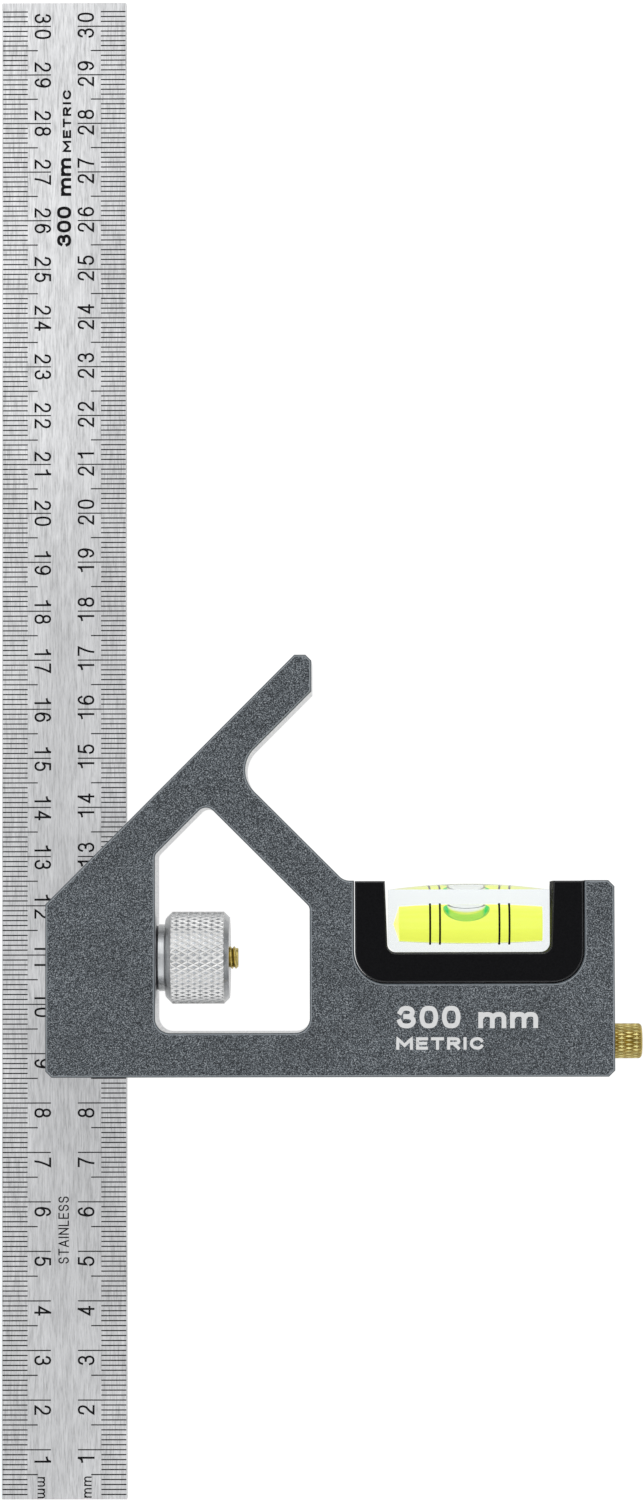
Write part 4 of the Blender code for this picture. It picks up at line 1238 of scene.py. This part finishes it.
def build_block(clear):
    """The clear block: rounded lower corners, a crowned top and the barrel bore."""
    arc_steps, crown_stations, crown_steps = 8, 28, 14
    low_z, high_z = BLOCK_LOW.z, BLOCK_HIGH.z
    radius = BLOCK_CORNER_RADIUS
    shoulder = BLOCK_HIGH.y - BLOCK_CROWN
    middle = (BLOCK_LOW.x + BLOCK_HIGH.x) / 2.0
    half_length = (BLOCK_HIGH.x - BLOCK_LOW.x) / 2.0
    sections = []
    for step in range(arc_steps + 1):
        angle = RIGHT_ANGLE * step / arc_steps
        sections.append((BLOCK_LOW.x + radius - radius * math.cos(angle), radius - radius * math.sin(angle)))
    straight = BLOCK_HIGH.x - BLOCK_LOW.x - 2.0 * radius
    for step in range(1, crown_stations):
        sections.append((BLOCK_LOW.x + radius + straight * step / crown_stations, 0.0))
    sections += [(2.0 * middle - x, lift) for x, lift in reversed(sections[:arc_steps + 1])]
    rows = []
    for x, lift in sections:
        along = 1.0 - ((x - middle) / half_length) ** 2
        row = []
        for step in range(crown_steps + 1):
            share = 2.0 * step / crown_steps - 1.0
            height = shoulder + BLOCK_CROWN * along * (1.0 - share * share)
            row.append((x, height, low_z + (high_z - low_z) * step / crown_steps))
        rows.append(row + [(x, BLOCK_LOW.y + lift, z) for z in (high_z, low_z)])
    mesh = combine(skinned(rows), turned(barrel_profile(0.0), VIAL_Y, MID_Z, RING_SEGMENTS))
    place("vial_block_clear", mesh, [clear], "stock", ["vial_block", "vial_plug"])


def bubble_space(grow=0.0):
    """The bubble's room across the top of the bore, deep below its shoulders and low above them."""
    steps = 64
    middle = VIAL_Y + VIAL_MIDDLE_RADIUS - BUBBLE_SHOULDER
    outline = []
    for step in range(steps):
        angle = ROUND * step / steps
        half_height = BUBBLE_ROOF if math.sin(angle) > 0.0 else BUBBLE_DEPTH - BUBBLE_SHOULDER
        outline.append((
            BUBBLE_X + (BUBBLE_LENGTH / 2.0 + grow) * math.cos(angle),
            middle + (half_height + grow) * math.sin(angle),
        ))
    reach = VIAL_MIDDLE_RADIUS + PAST / 2.0
    return prism(outline, MID_Z - reach, MID_Z + reach)


def build_vial(liquid, bubble):
    """What fills the bore: the liquid, and the bubble at its top."""
    filled = barrel_profile(WETTED)
    mesh = combine(turned(filled, VIAL_Y, MID_Z, RING_SEGMENTS), bubble_space())
    place("vial_liquid_fill", mesh, [liquid], "stock", ["vial_liquid"])
    mesh = combine(turned(filled, VIAL_Y, MID_Z, RING_SEGMENTS), bubble_space(-WETTED), "INTERSECT")
    place("vial_bubble", mesh, [bubble], "stock")


def build_rings(black):
    """The four black rings that the bubble is read against, with rounded outer edges."""
    for number in range(1, 5):
        low, high = node_box(f"vial_ring_{number}")
        middle = (low.x + high.x) / 2.0
        inner = barrel_radius(middle) - WETTED
        left, right = middle - RING_WIDTH / 2.0, middle + RING_WIDTH / 2.0
        mesh = rounded_ring(left, right, inner, (high.y - low.y) / 2.0, RING_EDGE, VIAL_Y)
        place(f"vial_ring_{number}_fine", mesh, [black], "stock", [f"vial_ring_{number}"])


# --- Scriber ---

def build_scriber_head(materials):
    """The scriber's knurled head with its rounded end, its knurl's tops and flanks coloured as painted
    highlight and shade.
    """
    start, end = HEAD_LOW.x, HEAD_HIGH.x

    def envelope(x):
        """Radius of the plain head, rounded at its outer end and eased at its inner one."""
        into = x - (end - HEAD_ROUNDING)
        if into > 0.0:
            return HEAD_RADIUS - HEAD_ROUNDING + math.sqrt(max(0.0, HEAD_ROUNDING ** 2 - into ** 2))
        return min(HEAD_RADIUS, HEAD_RADIUS - HEAD_EDGE + (x - start))

    rows = round((end - start) / HEAD_LEAD * KNURL_STEPS)
    barrel = [start + (end - start) * row / rows for row in range(rows + 1)]
    knurl_end = end - HEAD_ROUNDING * HEAD_KNURL_END
    barrel = [x for x in barrel if x < knurl_end] + [knurl_end]
    socket_end = start + SOCKET_DEPTH
    profile = [(socket_end, 0.0), (socket_end, SOCKET_RADIUS), (start, SOCKET_RADIUS)]
    profile += [(x, envelope(x)) for x in barrel]
    rounding_steps = 5
    for step in range(1, rounding_steps + 1):
        x = knurl_end + (end - knurl_end) * math.sin(RIGHT_ANGLE * step / rounding_steps)
        profile.append((x, envelope(x)))
    profile.append((end, 0.0))
    mesh = turned(profile, SCRIBER_Y, MID_Z, HEAD_TEETH * KNURL_STEPS)
    knurl(mesh, SCRIBER_Y, MID_Z, HEAD_TEETH, HEAD_LEAD, HEAD_KNURL_DEPTH, start, knurl_end, envelope)
    place("scriber_head_knurled", mesh, materials, "scriber", ["scriber_head"], sharp=22.0)


# --- Scene ---

def finish_node(node, material):
    """Give a CAD node that stays as it is its material."""
    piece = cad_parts[node]
    piece.data.materials.clear()
    piece.data.materials.append(material)


def build_floor():
    """A plain white floor under the tool, which can't be seen from below.

    It glows for the eye alone, and what the tool mirrors of it is greyer.
    """
    seen, mirrored, albedo = 0.97, 0.66, 0.12
    half, below = 6.0, 0.0005
    white = (1.0, 1.0, 1.0, 1.0)
    material, shader = new_material("floor", (albedo, albedo, albedo), 0.8, Emission_Color=white)
    path = add_node(material, "ShaderNodeLightPath").outputs
    direct = math_node(material, "MAXIMUM", path["Is Camera Ray"], path["Is Transmission Ray"])
    glow = add_node(material, "ShaderNodeMapRange", Value=direct, To_Min=mirrored, To_Max=seen)
    feed(material, shader.inputs["Emission Strength"], glow.outputs[0])
    geometry = add_node(material, "ShaderNodeNewGeometry")
    unseen = add_node(material, "ShaderNodeBsdfTransparent")
    show_mix(material, geometry.outputs["Backfacing"], shader, unseen)
    depth = ORIGIN.z - below
    corners = [(-half, -half, depth), (half, -half, depth), (half, half, depth), (-half, half, depth)]
    data = bpy.data.meshes.new("floor")
    data.from_pydata(corners, [], [(0, 1, 2, 3)])
    data.materials.append(material)
    new_object("floor", data)


def build_world():
    """Even studio light: bright overhead, greyer towards the horizon, with a small dark opening above."""
    world = bpy.data.worlds.new("studio")
    bpy.context.scene.world = world
    world.use_nodes = True
    levels = (
        (0.0, 0.18), (0.16, 0.28), (0.45, 1.0), (0.72, 0.98), (0.95, 0.74), (0.9975, 0.74), (0.9985, 0.12),
    )
    coords = add_node(world, "ShaderNodeTexCoord")
    height = add_node(world, "ShaderNodeSeparateXYZ", _0=coords.outputs["Generated"]).outputs["Z"]
    sky = ramp(world, height, [(level, (grey, grey * 1.01, grey * 1.03)) for level, grey in levels])
    seen = add_node(world, "ShaderNodeLightPath").outputs["Is Camera Ray"]
    background = world.node_tree.nodes["Background"]
    feed(world, background.inputs["Color"], mixed(world, sky, (1.0, 1.0, 1.0), seen))
    background.inputs["Strength"].default_value = 1.0


def add_area_light(name, location, target, size, power):
    """A soft square lamp that faces a point."""
    data = bpy.data.lights.new(name, "AREA")
    data.shape = "SQUARE"
    data.size = size
    data.energy = power
    lamp = new_object(name, data)
    lamp.location = location
    direction = Vector(target) - Vector(location)
    lamp.rotation_mode = "QUATERNION"
    lamp.rotation_quaternion = direction.to_track_quat("-Z", "Y")


def build_camera():
    """The camera above the tool, a little to its right and below its middle."""
    data = bpy.data.cameras.new("camera")
    data.sensor_width = 36.0
    data.lens = 106.27
    data.clip_start = 0.01
    data.clip_end = 50.0
    camera = new_object("camera", data)
    camera.location = (0.009445, -0.035019, 0.9105)
    camera.rotation_euler = [math.radians(angle) for angle in (2.1723, 0.6008, -0.1315)]
    bpy.context.scene.camera = camera


def main():
    """Build every piece, then the stage."""
    ink = mark_material("etched_black", (0.006, 0.006, 0.007), 0.6, gloss=0.12)
    paint = mark_material("white_print", (0.80, 0.80, 0.79), 0.5, low=0.93)
    brass = brass_material("brass", (0.68, 0.54, 0.18), 0.2)
    dark_steel = dark_steel_material()
    plastic = black_plastic_material()
    steel = brushed_steel_material()
    nut_finish = [
        aluminium_material("polished_aluminium", (0.575, 0.585, 0.59), 0.14),
        aluminium_material("satin_aluminium", (0.50, 0.52, 0.535), 0.24),
        aluminium_material("knurled_aluminium", (0.79, 0.785, 0.77), 0.18),
    ]

    build_stock(coated_material(), coated_edge_material(), milled_material())
    build_stock_print(paint)
    build_rule(steel)
    build_rule_marks(ink)
    build_nut(nut_finish)
    build_washer(dark_steel)
    build_bolt(
        brass_material("polished_brass", (0.66, 0.53, 0.17), 0.1),
        brass_material("thread_root_painted_shade", (0.07, 0.055, 0.02), 0.35),
    )
    build_holder(plastic, plastic_edge_material())
    build_block(clear_material())
    build_vial(liquid_material(), bubble_material())
    # Painted highlight and shade: the knurl's tops take a brighter brass and its flanks a darker one,
    # standing for how light falls on the knurl.
    painted_highlight_brass = brass_material("knurl_top_painted_highlight", (1.0, 0.83, 0.34), 0.15)
    painted_groove_shade_brass = brass_material("knurl_flank_painted_shade", (0.50, 0.39, 0.13), 0.22)
    build_scriber_head([brass, painted_highlight_brass, painted_groove_shade_brass])
    finish_node("lock_spring", dark_steel)
    build_rings(mark_material("ring_black", (0.003, 0.003, 0.003), 0.5, gloss=0.0))
    finish_node("scriber_needle", steel)
    finish_node("scriber_bush", brass)

    build_floor()
    build_world()
    add_area_light("key", location=(-0.25, 0.75, 1.15), target=(0.0, 0.0, 0.0), size=1.0, power=1.1)
    build_camera()
    bpy.context.scene.view_settings.view_transform = "Standard"


main()
